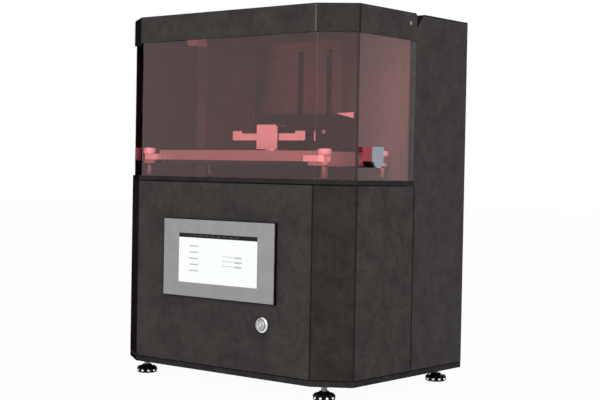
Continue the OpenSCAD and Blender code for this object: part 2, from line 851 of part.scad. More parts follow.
board_in = 36;
board_x = side_x - board_in;
board_y = 60;
board_w = 100;
board_d = 120;
board_t = 1.6;
board_edge = 6;
standoff_h = 8;
cooler_at = [30, 40, standoff_h];
cooler_size = [34, 34, 9];
socket_row_at = [14, 20, standoff_h];
socket_row_size = [60, 10, 13];
module control_board()
  color("#2f6b46") translate([-board_x, board_y, floor_in]) {
    box_at([0, 0, standoff_h], [board_w, board_d, board_t]);
    for (x = [board_edge, board_w - board_edge], y = [board_edge, board_d - board_edge])
      translate([x, y, 0]) cylinder(d = board_edge, h = standoff_h + board_t / 2);
    box_at(cooler_at, cooler_size);
    box_at(socket_row_at, socket_row_size);
  }

supply_size = [98, 200, 48];
supply_in = 38;
supply_x = side_x - supply_in - supply_size[0];
supply_y = 66;
module power_supply()
  color("#a9abad") box_at([supply_x, supply_y, floor_in], supply_size);

fan_wall = 5;
rotor_d = fan_w - 2 * fan_wall;
rotor_room = 1.5;
rotor_end = 7;
rotor_l = fan_t - rotor_end;
hub_share = 0.42;
hub_d = rotor_d * hub_share;
fan_y = back_in - fan_t;
fan_strut = 4;
spoke_in = 0.5;
spoke_lap = 1.5;
spoke_l = rotor_d / 2 + rotor_room + spoke_lap;
// A square ring, and four spokes that carry the hub, set in from the faces of both
module fan_frame()
  color("#1e1e1e") {
    difference() {
      box_at([-fan_x - fan_w / 2, fan_y, fan_z - fan_w / 2], [fan_w, fan_t, fan_w]);
      translate([-fan_x, fan_y - cut, fan_z]) rod_y(rotor_d + 2 * rotor_room, fan_t + 2 * cut);
    }
    translate([-fan_x, fan_y, fan_z]) rod_y(hub_d - 2, fan_strut);
    for (a = [0:90:270]) translate([-fan_x, fan_y, fan_z]) rotate([0, a, 0])
      box_at(
        [hub_d / 4, spoke_in, -fan_strut / 2],
        [spoke_l - hub_d / 4, fan_strut - 2 * spoke_in, fan_strut]
      );
  }

fan_blades = 7;
blade_pitch = 35;
blade_w = rotor_l - 2;
blade_t = 1.6;
module fan_rotor()
  color("#2a2a2a") translate([-fan_x, fan_y + fan_strut + slide_fit, fan_z]) {
    rod_y(hub_d, rotor_l);
    for (k = [0:fan_blades - 1]) rotate([0, k * 360 / fan_blades, 0])
      translate([hub_d / 2 - 2, rotor_l / 2, 0]) rotate([blade_pitch, 0, 0])
        box_at([0, -blade_w / 2, -blade_t / 2], [rotor_d / 2 - hub_d / 2 + 1, blade_w, blade_t]);
  }

// Mains inlet with its rocker switch: the socket is below, the switch above
socket_w = 24;
socket_h = 16;
socket_l = 14;
prong_w = 2;
prong_h = 4;
prong_step = 7;
prong_short = 2;
prong_mid_up = 1;
prong_end_up = -3;
rocker_w = 13;
rocker_h = 19;
rocker_l = 12;
rocker_up = 17;
rocker_z = inlet_z + rocker_up;
rocker_y = body_d - rocker_l / 2;
socket_down = 12;
socket_z = inlet_z - socket_down;
inlet_body_l = 24;
inlet_body_w = inlet_w - 2 * inlet_side - 2 * sheet_fit;
inlet_body_h = inlet_h - 2 * inlet_end - 2 * sheet_fit;
pivot_d = 3;
pivot_out = 1.5;
// The rocker's axle, and with more than 0 the sockets that it turns in
module rocker_pivot(more = 0)
  translate([inlet_x - rocker_w / 2 - pivot_out - more, rocker_y, rocker_z])
    rod_x(pivot_d + 2 * more, rocker_w + 2 * pivot_out + 2 * more);
module mains_inlet()
  color("#141414") difference() {
    union() {
      box_at([inlet_x - inlet_w / 2, body_d, inlet_z - inlet_h / 2], [inlet_w, inlet_t, inlet_h]);
      box_at(
        [inlet_x - inlet_body_w / 2, back_in - inlet_body_l, inlet_z - inlet_body_h / 2],
        [inlet_body_w, inlet_body_l + panel_t + inlet_t / 2, inlet_body_h]
      );
    }
    difference() {
      box_at(
        [inlet_x - socket_w / 2, body_d - socket_l, socket_z - socket_h / 2],
        [socket_w, socket_l + inlet_t + cut, socket_h]
      );
      for (k = [-1, 0, 1]) box_at(
        [
          inlet_x + k * prong_step - prong_w / 2, body_d - socket_l - cut,
          socket_z + (k == 0 ? prong_mid_up : prong_end_up)
        ],
        [prong_w, socket_l + cut - prong_short, prong_h]
      );
    }
    box_at(
      [inlet_x - rocker_w / 2 - slide_fit, body_d - rocker_l, rocker_z - rocker_h / 2 - slide_fit],
      [rocker_w + 2 * slide_fit, rocker_l + inlet_t + cut, rocker_h + 2 * slide_fit]
    );
    rocker_pivot(run_fit);
  }

// The rocker's lower half stands out at rest, and its back turns on the pivot. Distances along y are
// from the pivot, and the ends stay inside the frame through the whole tilt
rocker_back = 3;
rocker_back_half = 4;
rocker_root = 5;
rocker_low_out = 8;
rocker_mid_out = 6.4;
rocker_top_out = 5.8;
rocker_in = 1.6;
rocker_half = rocker_h / 2 - rocker_in;
module rocker_switch()
  color("#b3221f") {
    side_profile(inlet_x - rocker_w / 2, rocker_w) translate([rocker_y, rocker_z]) polygon([
      [-rocker_back, -rocker_back_half], [rocker_root, -rocker_half], [rocker_low_out, -rocker_half],
      [rocker_mid_out, 0], [rocker_top_out, rocker_half], [-rocker_back, rocker_back_half]
    ]);
    rocker_pivot();
  }

// Hood: a lid with a rear lip, panes, rim, hinge cheeks and the side grip
lid_side_end = hood_end - cheek_l;
lip_h = 24;
lip_room = 3;
lip_half = bracket_x - lip_room;
// Cuts a long edge at the rear top to a radius: r in from the hood's end and down from its top
module round_rear_edge()
  difference() {
    mid_box(
      body_w + 2 * cut, hood_end - lid_edge_r, top_z - lid_edge_r, lid_edge_r + cut, lid_edge_r + cut
    );
    translate([-side_x - 2 * cut, hood_end - lid_edge_r, top_z - lid_edge_r])
      rod_x(2 * lid_edge_r, body_w + 4 * cut);
  }
module hood_cap()
  color("#3a3938") difference() {
    union() {
      difference() {
        translate([0, 0, lid_z]) linear_extrude(lid_h) plan(0, hood_end);
        translate([0, 0, lid_z - cut]) linear_extrude(lid_h - lid_t + cut) plan(lid_t, hood_end + cut);
      }
      mid_box(2 * lip_half, hood_end - lid_t, top_z - lip_h, lid_t, lip_h - lid_t / 2);
    }
    both() box_at(
      [side_x - lid_t, lid_side_end - sheet_fit, lid_z - cut],
      [lid_t + cut, cheek_l + 2 * cut, lid_h + 2 * cut]
    );
    round_rear_edge();
  }

pane_h = lid_z + pane_lap - pane_z;
pane_in = lid_t + pane_t;
pane_joint = 0.2;
module hood_panes()
  color("#7d4a4d", 0.55) translate([0, 0, pane_z]) linear_extrude(pane_h) {
    front_strip(lid_t, pane_in);
    both() corner_strip(lid_t, pane_in, 2 * pane_joint);
    side_strip(lid_t, pane_in, hood_end);
  }

module hood_side_panel()
  color("#353332") translate([0, 0, pane_z]) linear_extrude(pane_h)
    mirror([1, 0, 0]) side_strip(lid_t, pane_in, hood_end);

// The rim's rear ends stop where they still swing clear of the deck
swing_room = 0.15;
swing_h = pin_z - deck_z - swing_room;
rim_end = min(hood_end, pin_y + sqrt(swing_h * swing_h - (pin_z - rim_z) * (pin_z - rim_z)));
module hood_rim()
  color("#333230") translate([0, 0, rim_z]) linear_extrude(rim_h) {
    front_strip(0, rim_w);
    both() corner_strip(0, rim_w, 2 * pane_joint);
    both() side_strip(0, rim_w, rim_end);
  }

// A cheek fills the rear end of the lid's side, and its tongue reaches forward inside the lid
cheek_tongue_z = lid_z + pane_lap + sheet_fit;
cheek_tongue_h = top_z - lid_t - sheet_fit - cheek_tongue_z;
cheek_tongue_l = 28;
cheek_tongue_back = 7;
module hood_cheeks()
  color("#3d3c3a") both() difference() {
    union() {
      box_at([side_x - lid_t, lid_side_end, lid_z], [lid_t, cheek_l, lid_h]);
      box_at(
        [side_x - pane_in, lid_side_end - cheek_tongue_l, cheek_tongue_z],
        [pane_t, pin_y + cheek_tongue_back - lid_side_end + cheek_tongue_l, cheek_tongue_h]
      );
    }
    round_rear_edge();
    translate([side_x - pane_in - cut, pin_y, pin_z]) rod_x(pin_d + 2 * run_fit, pane_in + 2 * cut);
  }

// The grip's profile has a flat top, and its lower corners are cut by a share of its depth and height
grip_z = deck_z + grip_up - grip_h;
corner_share_d = 0.26;
corner_share_h = 0.3;
module grip_profile(less = 0) {
  y0 = grip_y - grip_d / 2 + less;
  y1 = grip_y + grip_d / 2 - less;
  z0 = grip_z + less;
  z1 = grip_z + grip_h - less;
  corner_d = grip_d * corner_share_d;
  corner_h = grip_h * corner_share_h;
  polygon([
    [y0, z1], [y0, z0 + corner_h], [y0 + corner_d, z0],
    [y1 - corner_d, z0], [y1, z0 + corner_h], [y1, z1]
  ]);
}

module handle_spacer()
  color("#7a2633") side_profile(grip_x, spacer_l) grip_profile(spacer_in);

module handle_plate()
  color("#9fb0ba") side_profile(grip_x + spacer_l, grip_t) grip_profile();

// Levelling feet: a lobed knob on a stud that screws into the bottom plate
lobe_share = 0.2;
lobe_d = foot_d * lobe_share;
lobe_lap = 0.9;
boss_rim = 3;
boss_h = 3;
stud_end = 4;
module foot(p)
  color("#101010") translate([p[0], p[1], 0]) {
    cylinder(d = foot_d - lobe_d * lobe_lap, h = foot_knob_h);
    for (k = [0:foot_lobes - 1]) rotate([0, 0, k * 360 / foot_lobes])
      translate([(foot_d - lobe_d) / 2, 0, 0]) cylinder(d = lobe_d, h = foot_knob_h);
    cylinder(d = stud_d + 2 * boss_rim, h = foot_knob_h + boss_h);
    cylinder(d = stud_d, h = foot_h + bottom_t + stud_end);
  }
module foot_front_left() foot(foot_xy[0]);
module foot_front_right() foot(foot_xy[1]);
module foot_rear_left() foot(foot_xy[2]);
module foot_rear_right() foot(foot_xy[3]);

placed() bottom_plate();
placed() frame_uprights();
placed() front_panel();
placed() side_panels();
placed() rear_sides();
placed() back_panel();
placed() rear_top_cover();
placed() deck_plate();
placed() chamber_wall();
placed() column_cover();
placed() panel_screws();
placed() hinge_brackets();
placed() hinge_pins();
placed() screen_housing();
placed() screen_bezel();
placed() screen_display();
placed() button_housing();
placed() exposure_window();
placed() vat_posts();
placed() vat_tray();
placed() vat_film();
placed() vat_lugs();
placed() z_column();
placed() z_rails();
placed() z_motor();
placed() screw_bearings();
placed() projector_body();
placed() projector_lens();
placed() control_board();
placed() power_supply();
placed() fan_frame();
placed() mains_inlet();
placed() hood_cap();
placed() hood_panes();
placed() hood_side_panel();
placed() hood_rim();
placed() hood_cheeks();
placed() handle_spacer();
placed() handle_plate();
placed() carriage_plate();
placed() carriage_blocks();
placed() screw_nut();
placed() carriage_head();
placed() platform_arm();
placed() arm_crossbar();
placed() platform_block();
placed() build_platform();
placed() lead_screw();
placed() shaft_coupling();
placed() button_cap();
placed() fan_rotor();
placed() rocker_switch();
placed() vat_knob_front_left();
placed() vat_knob_front_right();
placed() vat_knob_rear_left();
placed() vat_knob_rear_right();
placed() foot_front_left();
placed() foot_front_right();
placed() foot_rear_left();
placed() foot_rear_right();
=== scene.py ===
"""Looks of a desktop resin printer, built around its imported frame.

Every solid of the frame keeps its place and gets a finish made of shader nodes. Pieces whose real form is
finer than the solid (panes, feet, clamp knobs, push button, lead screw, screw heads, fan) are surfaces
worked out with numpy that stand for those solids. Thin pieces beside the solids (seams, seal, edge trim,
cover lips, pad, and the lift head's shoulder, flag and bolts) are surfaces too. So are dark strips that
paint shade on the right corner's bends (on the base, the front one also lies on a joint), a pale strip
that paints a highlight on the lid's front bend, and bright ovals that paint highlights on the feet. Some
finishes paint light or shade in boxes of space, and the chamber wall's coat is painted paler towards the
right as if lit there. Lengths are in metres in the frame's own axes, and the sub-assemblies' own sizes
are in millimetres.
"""

import logging
import math
from dataclasses import asdict, dataclass, field, replace
from enum import Enum
from typing import ClassVar

import bmesh
import bpy
import numpy as np
from mathutils import Matrix, Vector


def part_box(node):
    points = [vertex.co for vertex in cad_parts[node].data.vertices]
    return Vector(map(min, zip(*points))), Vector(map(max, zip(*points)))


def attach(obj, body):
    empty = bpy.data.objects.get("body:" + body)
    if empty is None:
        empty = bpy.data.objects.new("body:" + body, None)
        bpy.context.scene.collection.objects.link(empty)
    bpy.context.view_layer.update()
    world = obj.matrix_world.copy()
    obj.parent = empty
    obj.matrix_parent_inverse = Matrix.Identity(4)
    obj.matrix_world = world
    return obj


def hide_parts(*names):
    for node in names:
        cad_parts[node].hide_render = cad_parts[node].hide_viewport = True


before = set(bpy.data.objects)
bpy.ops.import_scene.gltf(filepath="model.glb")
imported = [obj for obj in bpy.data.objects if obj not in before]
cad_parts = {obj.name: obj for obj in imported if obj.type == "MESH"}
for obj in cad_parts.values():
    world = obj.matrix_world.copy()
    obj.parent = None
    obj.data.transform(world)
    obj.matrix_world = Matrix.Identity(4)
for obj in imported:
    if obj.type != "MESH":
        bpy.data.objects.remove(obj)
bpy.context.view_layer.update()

MM = 0.001
SHARP = 32.0
RIB_SHARP = 40.0
LOBE_SHARP = 50.0
CURVE_SHARP = 60.0
WALL_LEVELS = 5
SEAM_GAP = 2e-7
SLIVER = 1e-8
WELD_GAP = 1e-6
EDGE_STEPS = 2
EDGE_ANGLE = 28.0
BEND_SHARE = 0.45
log = logging.getLogger("resin_printer")

Colour = tuple[float, float, float]


class Axis(Enum):
    """The direction that a turned piece's axis points in."""

    UP = "up"
    BACK = "back"


class Side(Enum):
    """Which way along the width something lies, as a sign."""

    LEFT = -1
    RIGHT = 1


def srgb(red: int, green: int, blue: int) -> Colour:
    """Turn a colour as seen on a screen into linear values.

    Args:
        red: Red from 0 to 255.
        green: Green from 0 to 255.
        blue: Blue from 0 to 255.

    Returns:
        The three linear values from 0 to 1.
    """
    seen = np.array([red, green, blue]) / 255
    linear = np.where(seen <= 0.04045, seen / 12.92, ((seen + 0.055) / 1.055) ** 2.4)
    return tuple(float(x) for x in linear)


# Shader helpers


@dataclass(frozen=True)
class Noise:
    """A noise's scale, how many finer layers it has, and how strong they are."""

    scale: float
    detail: float
    rough: float = 0.5


CLOUDS = Noise(26.0, 5.0, 0.62)
MOTTLE = Noise(110.0, 4.0, 0.6)
PEEL = Noise(850.0, 2.0)
BRUSH_LINES = Noise(1.0, 3.0, 0.7)
SMUDGES = Noise(45.0, 3.0)
WEAR = Noise(60.0, 4.0)
MOTTLE_SHARE = 0.4
SMUDGE_SHARE = 0.3
SHADE_RANGE = (0.36, 0.66)
WEAR_RANGE = (0.4, 0.75)


class Tree:
    """Adds nodes to a shader tree and joins them."""

    def __init__(self, tree: bpy.types.NodeTree) -> None:
        """Keep the tree that the nodes go into."""
        self.tree = tree

    def add(self, kind: str, settings: dict | None = None, **inputs: object) -> bpy.types.Node:
        """Add one node, set its choices, and set or link its inputs.

        Args:
            kind: The node's type name.
            settings: Choices of the node, such as its operation.
            **inputs: Input values by socket name with spaces as underscores. A socket links instead.

        Returns:
            The new node.
        """
        node = self.tree.nodes.new(kind)
        for key, value in (settings or {}).items():
            setattr(node, key, value)
        for key, value in inputs.items():
            self.feed(node.inputs[key.replace("_", " ")], value)
        return node

    def feed(self, socket: bpy.types.NodeSocket, value: object) -> None:
        """Link a socket to another, or set its value."""
        if isinstance(value, bpy.types.NodeSocket):
            self.tree.links.new(value, socket)
        elif isinstance(value, tuple) and len(value) == 3 and socket.type == "RGBA":
            socket.default_value = (*value, 1.0)
        else:
            socket.default_value = value

    def sum(self, operation: str, first: object, second: object = 0.0) -> bpy.types.NodeSocket:
        """Add a Math node.

        Args:
            operation: The Math node's operation.
            first: Its first value or socket.
            second: Its second value or socket.

        Returns:
            The node's output socket.
        """
        node = self.add("ShaderNodeMath", {"operation": operation})
        self.feed(node.inputs[0], first)
        self.feed(node.inputs[1], second)
        return node.outputs[0]

    def mix(self, share: object, first: object, second: object, way: str = "MIX") -> bpy.types.NodeSocket:
        """Mix two colours by a share.

        Args:
            share: How much of the mixed colour shows.
            first: The first colour, as a value or a socket.
            second: The second colour, as a value or a socket.
            way: The Mix node's way of mixing.

        Returns:
            The result's socket.
        """
        node = self.add("ShaderNodeMix", {"data_type": "RGBA", "blend_type": way})
        self.feed(node.inputs[0], share)
        self.feed(node.inputs[6], first)
        self.feed(node.inputs[7], second)
        return node.outputs[2]

    def blend(self, share: object, first: bpy.types.Node, second: bpy.types.Node) -> bpy.types.NodeSocket:
        """Mix two shaders, with the second by its share, and return the result's socket."""
        node = self.add("ShaderNodeMixShader", Fac=share)
        self.feed(node.inputs[1], first.outputs[0])
        self.feed(node.inputs[2], second.outputs[0])
        return node.outputs[0]

    def spread(self, value: object, low: float, high: float) -> bpy.types.NodeSocket:
        """Stretch a value from 0..1 to low..high, and return the result's socket."""
        return self.add("ShaderNodeMapRange", Value=value, To_Min=low, To_Max=high).outputs[0]

    def ramp(self, value: object, low: float, high: float, way: str = "LINEAR") -> bpy.types.NodeSocket:
        """Stretch a value from low..high to 0..1, and return the result's socket."""
        choice = {"interpolation_type": way}
        return self.add("ShaderNodeMapRange", choice, Value=value, From_Min=low, From_Max=high).outputs[0]

    def noise(self, place: object, kind: Noise, scale: object | None = None) -> bpy.types.NodeSocket:
        """Add a noise.

        Args:
            place: Socket of the point that it is taken at.
            kind: Its scale and its finer layers.
            scale: Socket of a scale to use in place of the kind's own.

        Returns:
            The socket of the noise's value.
        """
        layers = {"Detail": kind.detail, "Roughness": kind.rough}
        scale = kind.scale if scale is None else scale
        return self.add("ShaderNodeTexNoise", Vector=place, Scale=scale, **layers).outputs[0]

    def weigh(self, first: object, second: object, share: float) -> bpy.types.NodeSocket:
        """Add two values, the second by its share and the first by the rest, and return the sum's socket."""
        rest = self.sum("MULTIPLY", first, 1 - share)
        return self.sum("ADD", rest, self.sum("MULTIPLY", second, share))

    def object_place(self) -> bpy.types.NodeSocket:
        """Return the socket with the surface point in the object's own coordinates."""
        return self.add("ShaderNodeTexCoord").outputs["Object"]

    def parts(self, vector: object) -> bpy.types.bpy_prop_collection:
        """Return the sockets with a vector's x, y and z."""
        return self.add("ShaderNodeSeparateXYZ", Vector=vector).outputs

    def put_out(self, gives: bpy.types.Node, **values: object) -> None:
        """Feed a group's outputs by name."""
        for key, value in values.items():
            self.feed(gives.inputs[key], value)


def blank_material(name: str) -> tuple[bpy.types.Material, Tree]:
    """Make a material without nodes, and return it with the helper for its tree."""
    made = bpy.data.materials.new(name)
    made.use_nodes = True
    made.node_tree.nodes.clear()
    return made, Tree(made.node_tree)


def shared_group(
    name: str, inputs: dict[str, str], outputs: dict[str, str]
) -> tuple[Tree, bpy.types.Node, bpy.types.Node]:
    """Start a shader node group with named sockets.

    Args:
        name: The group's name.
        inputs: Socket type by input name.
        outputs: Socket type by output name.

    Returns:
        The group's tree helper, its input node and its output node.
    """
    made = bpy.data.node_groups.new(name, "ShaderNodeTree")
    for label, kind in inputs.items():
        made.interface.new_socket(label, in_out="INPUT", socket_type="NodeSocket" + kind)
    for label, kind in outputs.items():
        made.interface.new_socket(label, in_out="OUTPUT", socket_type="NodeSocket" + kind)
    tree = Tree(made)
    return tree, tree.add("NodeGroupInput"), tree.add("NodeGroupOutput")


class Effect(Enum):
    """The shared surface effects, by the name of their node group."""

    MOTTLE = "cloudy_coat"
    BRUSH = "brushed_lines"
    GRAIN = "moulded_grain"
    ROWS = "plain_rows"
    PATCH = "box_patch"


LOOK = {"Color": "Color", "Rough": "Float", "Height": "Float"}


def make_mottle() -> None:
    """Build the cloudy coat: soft clouds, a finer mottle and fine orange peel.

    The shade is the weighted sum of two noises of about 38 and 9 mm, the roughness follows the finer of the
    two, and the height is a third noise of about 1.2 mm.
    """
    sockets = {"Dark": "Color", "Light": "Color", "Cloud": "Float"}
    tree, given, gives = shared_group(Effect.MOTTLE.value, sockets, LOOK)
    place = tree.object_place()
    cloud = tree.noise(place, CLOUDS, given.outputs["Cloud"])
    mottle = tree.noise(place, MOTTLE)
    shade = tree.ramp(tree.weigh(cloud, mottle, MOTTLE_SHARE), *SHADE_RANGE)
    colour = tree.mix(shade, given.outputs["Dark"], given.outputs["Light"])
    tree.put_out(gives, Color=colour, Rough=mottle, Height=tree.noise(place, PEEL))


def make_brush() -> None:
    """Build brushed lines: noise squeezed across the brush and drawn out along it, plus faint smudges."""
    sockets = {"Base": "Color", "Deep": "Color", "Stretch": "Vector"}
    tree, given, gives = shared_group(Effect.BRUSH.value, sockets, LOOK)
    place = tree.object_place()
    along = tree.add("ShaderNodeMapping", Vector=place, Scale=given.outputs["Stretch"])
    lines = tree.noise(along.outputs[0], BRUSH_LINES)
    share = tree.weigh(lines, tree.noise(place, SMUDGES), SMUDGE_SHARE)
    colour = tree.mix(share, given.outputs["Deep"], given.outputs["Base"])
    tree.put_out(gives, Color=colour, Rough=share, Height=lines)


def make_grain() -> None:
    """Build moulded grain: fine cells for the height, and slow clouds of wear for the colour."""
    sockets = {"Base": "Color", "Worn": "Color", "Scale": "Float"}
    tree, given, gives = shared_group(Effect.GRAIN.value, sockets, LOOK)
    place = tree.object_place()
    cells = tree.add("ShaderNodeTexVoronoi", Vector=place, Scale=given.outputs["Scale"])
    wear = tree.noise(place, WEAR)
    colour = tree.mix(tree.ramp(wear, *WEAR_RANGE), given.outputs["Base"], given.outputs["Worn"])
    tree.put_out(gives, Color=colour, Rough=wear, Height=cells.outputs[0])


def make_rows() -> None:
    """Build plain rows: a mask of evenly spaced bars in a column of a lit panel.

    A point is in a bar when it lies between Left and Right, and its distance below First, counted in Steps,
    is within half of Thick of a whole number from 0 to Count - 1.
    """
    names = ("U", "V", "Left", "Right", "First", "Step", "Count", "Thick")
    sockets = {name: "Float" for name in names}
    tree, given, gives = shared_group(Effect.ROWS.value, sockets, {"Mask": "Float"})
    g = given.outputs
    steps = tree.sum("DIVIDE", tree.sum("SUBTRACT", g["First"], g["V"]), g["Step"])
    whole = tree.sum("ROUND", steps)
    off = tree.sum("MULTIPLY", tree.sum("ABSOLUTE", tree.sum("SUBTRACT", steps, whole)), g["Step"])
    near = tree.sum("LESS_THAN", off, tree.sum("MULTIPLY", g["Thick"], 0.5))
    started = tree.sum("GREATER_THAN", whole, -0.5)
    ended = tree.sum("LESS_THAN", whole, tree.sum("SUBTRACT", g["Count"], 0.5))
    past_left = tree.sum("GREATER_THAN", g["U"], g["Left"])
    across = tree.sum("MULTIPLY", past_left, tree.sum("LESS_THAN", g["U"], g["Right"]))
    mask = tree.sum("MULTIPLY", tree.sum("MULTIPLY", near, started), tree.sum("MULTIPLY", ended, across))
    tree.put_out(gives, Mask=mask)


def make_painted_light_box() -> None:
    """Build a box of painted light: a mask of the points between Low and High in all three directions."""
    sockets = {"Low": "Vector", "High": "Vector"}
    tree, given, gives = shared_group(Effect.PATCH.value, sockets, {"Mask": "Float"})
    place = tree.object_place()

    def combine(operation: str, first: object, second: object) -> bpy.types.NodeSocket:
        """Add a Vector Math node, and return its result's socket."""
        node = tree.add("ShaderNodeVectorMath", {"operation": operation})
        tree.feed(node.inputs[0], first)
        tree.feed(node.inputs[1], second)
        return node.outputs[0]

    above = combine("SUBTRACT", place, given.outputs["Low"])
    below = combine("SUBTRACT", given.outputs["High"], place)
    x, y, z = tree.parts(combine("MINIMUM", above, below))
    least = tree.sum("MINIMUM", tree.sum("MINIMUM", x, y), z)
    tree.put_out(gives, Mask=tree.sum("GREATER_THAN", least, 0.0))


# Finishes


@dataclass(frozen=True)
class PaintedLightBox:
    """A box of space, in metres, in which a finish's colour is multiplied by another to paint light or
    shade.
    """

    times: Colour
    low: tuple[float, float, float]
    high: tuple[float, float, float]


@dataclass(frozen=True)
class Finish:
    """A finish by name, with optional boxes of painted light or shade. The material is made once and then
    shared.
    """

    name: str
    patches: tuple[PaintedLightBox, ...] = field(default=(), kw_only=True)

    def material(self) -> bpy.types.Material:
        """Return the finish's material, making it at first use."""
        name = f"{self.name}_look"
        found = bpy.data.materials.get(name)
        if found is None:
            found, tree = blank_material(name)
            self.fill(tree)
        return found

    def fill(self, tree: Tree) -> None:
        """Put the finish's nodes into an empty tree."""
        raise NotImplementedError

    def tone(self, tree: Tree, colour: bpy.types.NodeSocket) -> bpy.types.NodeSocket:
        """Paint light or shade on the colour in each box, and return the socket of the colour to use."""
        for patch in self.patches:
            mask = self.effect(tree, Effect.PATCH, Low=patch.low, High=patch.high)
            colour = tree.mix(mask.outputs[0], colour, patch.times, "MULTIPLY")
        return colour

    @staticmethod
    def effect(tree: Tree, which: Effect, **inputs: object) -> bpy.types.Node:
        """Place a shared effect in the tree with its own values."""
        node = tree.add("ShaderNodeGroup", {"node_tree": bpy.data.node_groups[which.value]})
        for key, value in inputs.items():
            tree.feed(node.inputs[key], value)
        return node

    @staticmethod
    def close(tree: Tree, shader: bpy.types.NodeSocket) -> None:
        """Join a shader to the material's output."""
        tree.add("ShaderNodeOutputMaterial", Surface=shader)


@dataclass(frozen=True)
class Textured(Finish):
    """A finish whose colour, roughness and relief come from one shared effect.

    The roughness runs from less below the finish's own rough to more above it, and the relief is in
    millimetres. Each kind of finish has a rough, and a gloss unless it is metal.
    """

    less: ClassVar[float] = 0.08
    more: ClassVar[float] = 0.12
    relief: ClassVar[float] = 0.04
    bump: ClassVar[float] = 0.6

    def look(self, tree: Tree) -> bpy.types.Node:
        """Place the finish's effect in the tree."""
        raise NotImplementedError

    def shine(self) -> dict[str, float]:
        """Return the shader's inputs that are the same all over the surface."""
        return {"Specular_IOR_Level": self.gloss}

    def fill(self, tree: Tree) -> None:
        """Put the finish's nodes into the tree."""
        look = self.look(tree)
        height, depth = look.outputs["Height"], self.relief * MM
        raised = tree.add("ShaderNodeBump", Height=height, Distance=depth, Strength=self.bump)
        shader = tree.add(
            "ShaderNodeBsdfPrincipled",
            Base_Color=self.tone(tree, look.outputs["Color"]),
            Roughness=tree.spread(look.outputs["Rough"], self.rough - self.less, self.rough + self.more),
            Normal=raised.outputs[0],
            **self.shine(),
        )
        self.close(tree, shader.outputs[0])


@dataclass(frozen=True)
class Coat(Textured):
    """Satin powder coat with a cloudy mottle, on sheet metal."""

    more: ClassVar[float] = 0.1
    relief: ClassVar[float] = 0.05
    dark: Colour
    light: Colour
    cloud: float = CLOUDS.scale
    rough: float = 0.5
    gloss: float = 0.03

    def look(self, tree: Tree) -> bpy.types.Node:
        """Place the coat's mottle in the tree."""
        return self.effect(tree, Effect.MOTTLE, Dark=self.dark, Light=self.light, Cloud=self.cloud)


@dataclass(frozen=True)
class PaintedLightCoat(Coat):
    """A coat with painted light: it grows paler towards the right, between two places along the width, as if
    lit there.
    """

    pale: Colour = (1.0, 1.0, 1.0)
    start: float = 0.0
    end: float = 1.0

    def tone(self, tree: Tree, colour: bpy.types.NodeSocket) -> bpy.types.NodeSocket:
        """Paint light on the coat by mixing its colour with the pale one along the width, and return the
        result's socket.
        """
        across = tree.parts(tree.object_place())[0]
        return tree.mix(tree.ramp(across, self.start, self.end, "SMOOTHSTEP"), colour, self.pale)


@dataclass(frozen=True)
class Metal(Textured):
    """Bare metal with lines drawn out along one direction."""

    relief: ClassVar[float] = 0.02
    base: Colour
    deep: Colour
    stretch: tuple[float, float, float] = (30.0, 30.0, 2400.0)
    rough: float = 0.32

    def look(self, tree: Tree) -> bpy.types.Node:
        """Place the metal's brushed lines in the tree."""
        return self.effect(tree, Effect.BRUSH, Base=self.base, Deep=self.deep, Stretch=self.stretch)

    def shine(self) -> dict[str, float]:
        """Return the shader's inputs that are the same all over the surface."""
        return {"Metallic": 1.0}


@dataclass(frozen=True)
class Plastic(Textured):
    """Moulded plastic with a fine grain and faint wear."""

    less: ClassVar[float] = 0.1
    base: Colour
    worn: Colour
    scale: float = 1500.0
    rough: float = 0.45
    gloss: float = 0.3

    def look(self, tree: Tree) -> bpy.types.Node:
        """Place the plastic's grain in the tree."""
        return self.effect(tree, Effect.GRAIN, Base=self.base, Worn=self.worn, Scale=self.scale)


@dataclass(frozen=True)
class Pane(Finish):
    """Clear or tinted sheet. Only what is seen straight through it is tinted, and light passes freely."""

    grain: ClassVar[float] = 700.0
    least: ClassVar[float] = 0.5
    most: ClassVar[float] = 1.5
    tint: Colour
    faded: Colour
    rough: float = 0.02
    index: float = 1.49

    def fill(self, tree: Tree) -> None:
        """Put the pane's nodes into the tree."""
        look = self.effect(tree, Effect.GRAIN, Base=self.tint, Worn=self.faded, Scale=self.grain)
        shader = tree.add(
            "ShaderNodeBsdfPrincipled",
            Base_Color=look.outputs["Color"],
            Roughness=tree.spread(look.outputs["Rough"], self.rough * self.least, self.rough * self.most),
            IOR=self.index,
            Transmission_Weight=1.0,
        )
        through = tree.add("ShaderNodeBsdfTransparent")
        ray = tree.add("ShaderNodeLightPath")
        looks = tree.sum("MAXIMUM", ray.outputs["Is Camera Ray"], ray.outputs["Is Transmission Ray"])
        passes = tree.sum("SUBTRACT", 1.0, looks)
        self.close(tree, tree.blend(passes, shader, through))


@dataclass(frozen=True)
class Bars:
    """A column of bars on a lit panel, in shares of the panel's width and height."""

    left: float
    right: float
    first: float
    step: float
    count: float
    thick: float


MENU_BARS = Bars(0.135, 0.255, 0.745, 0.125, 5.0, 0.03)
LABEL_BARS = Bars(0.565, 0.7, 0.57, 0.093, 3.0, 0.016)
VALUE_BARS = Bars(0.715, 0.81, 0.562, 0.093, 3.0, 0.04)
TAB_BARS = Bars(0.14, 0.76, 0.957, 0.1, 1.0, 0.02)


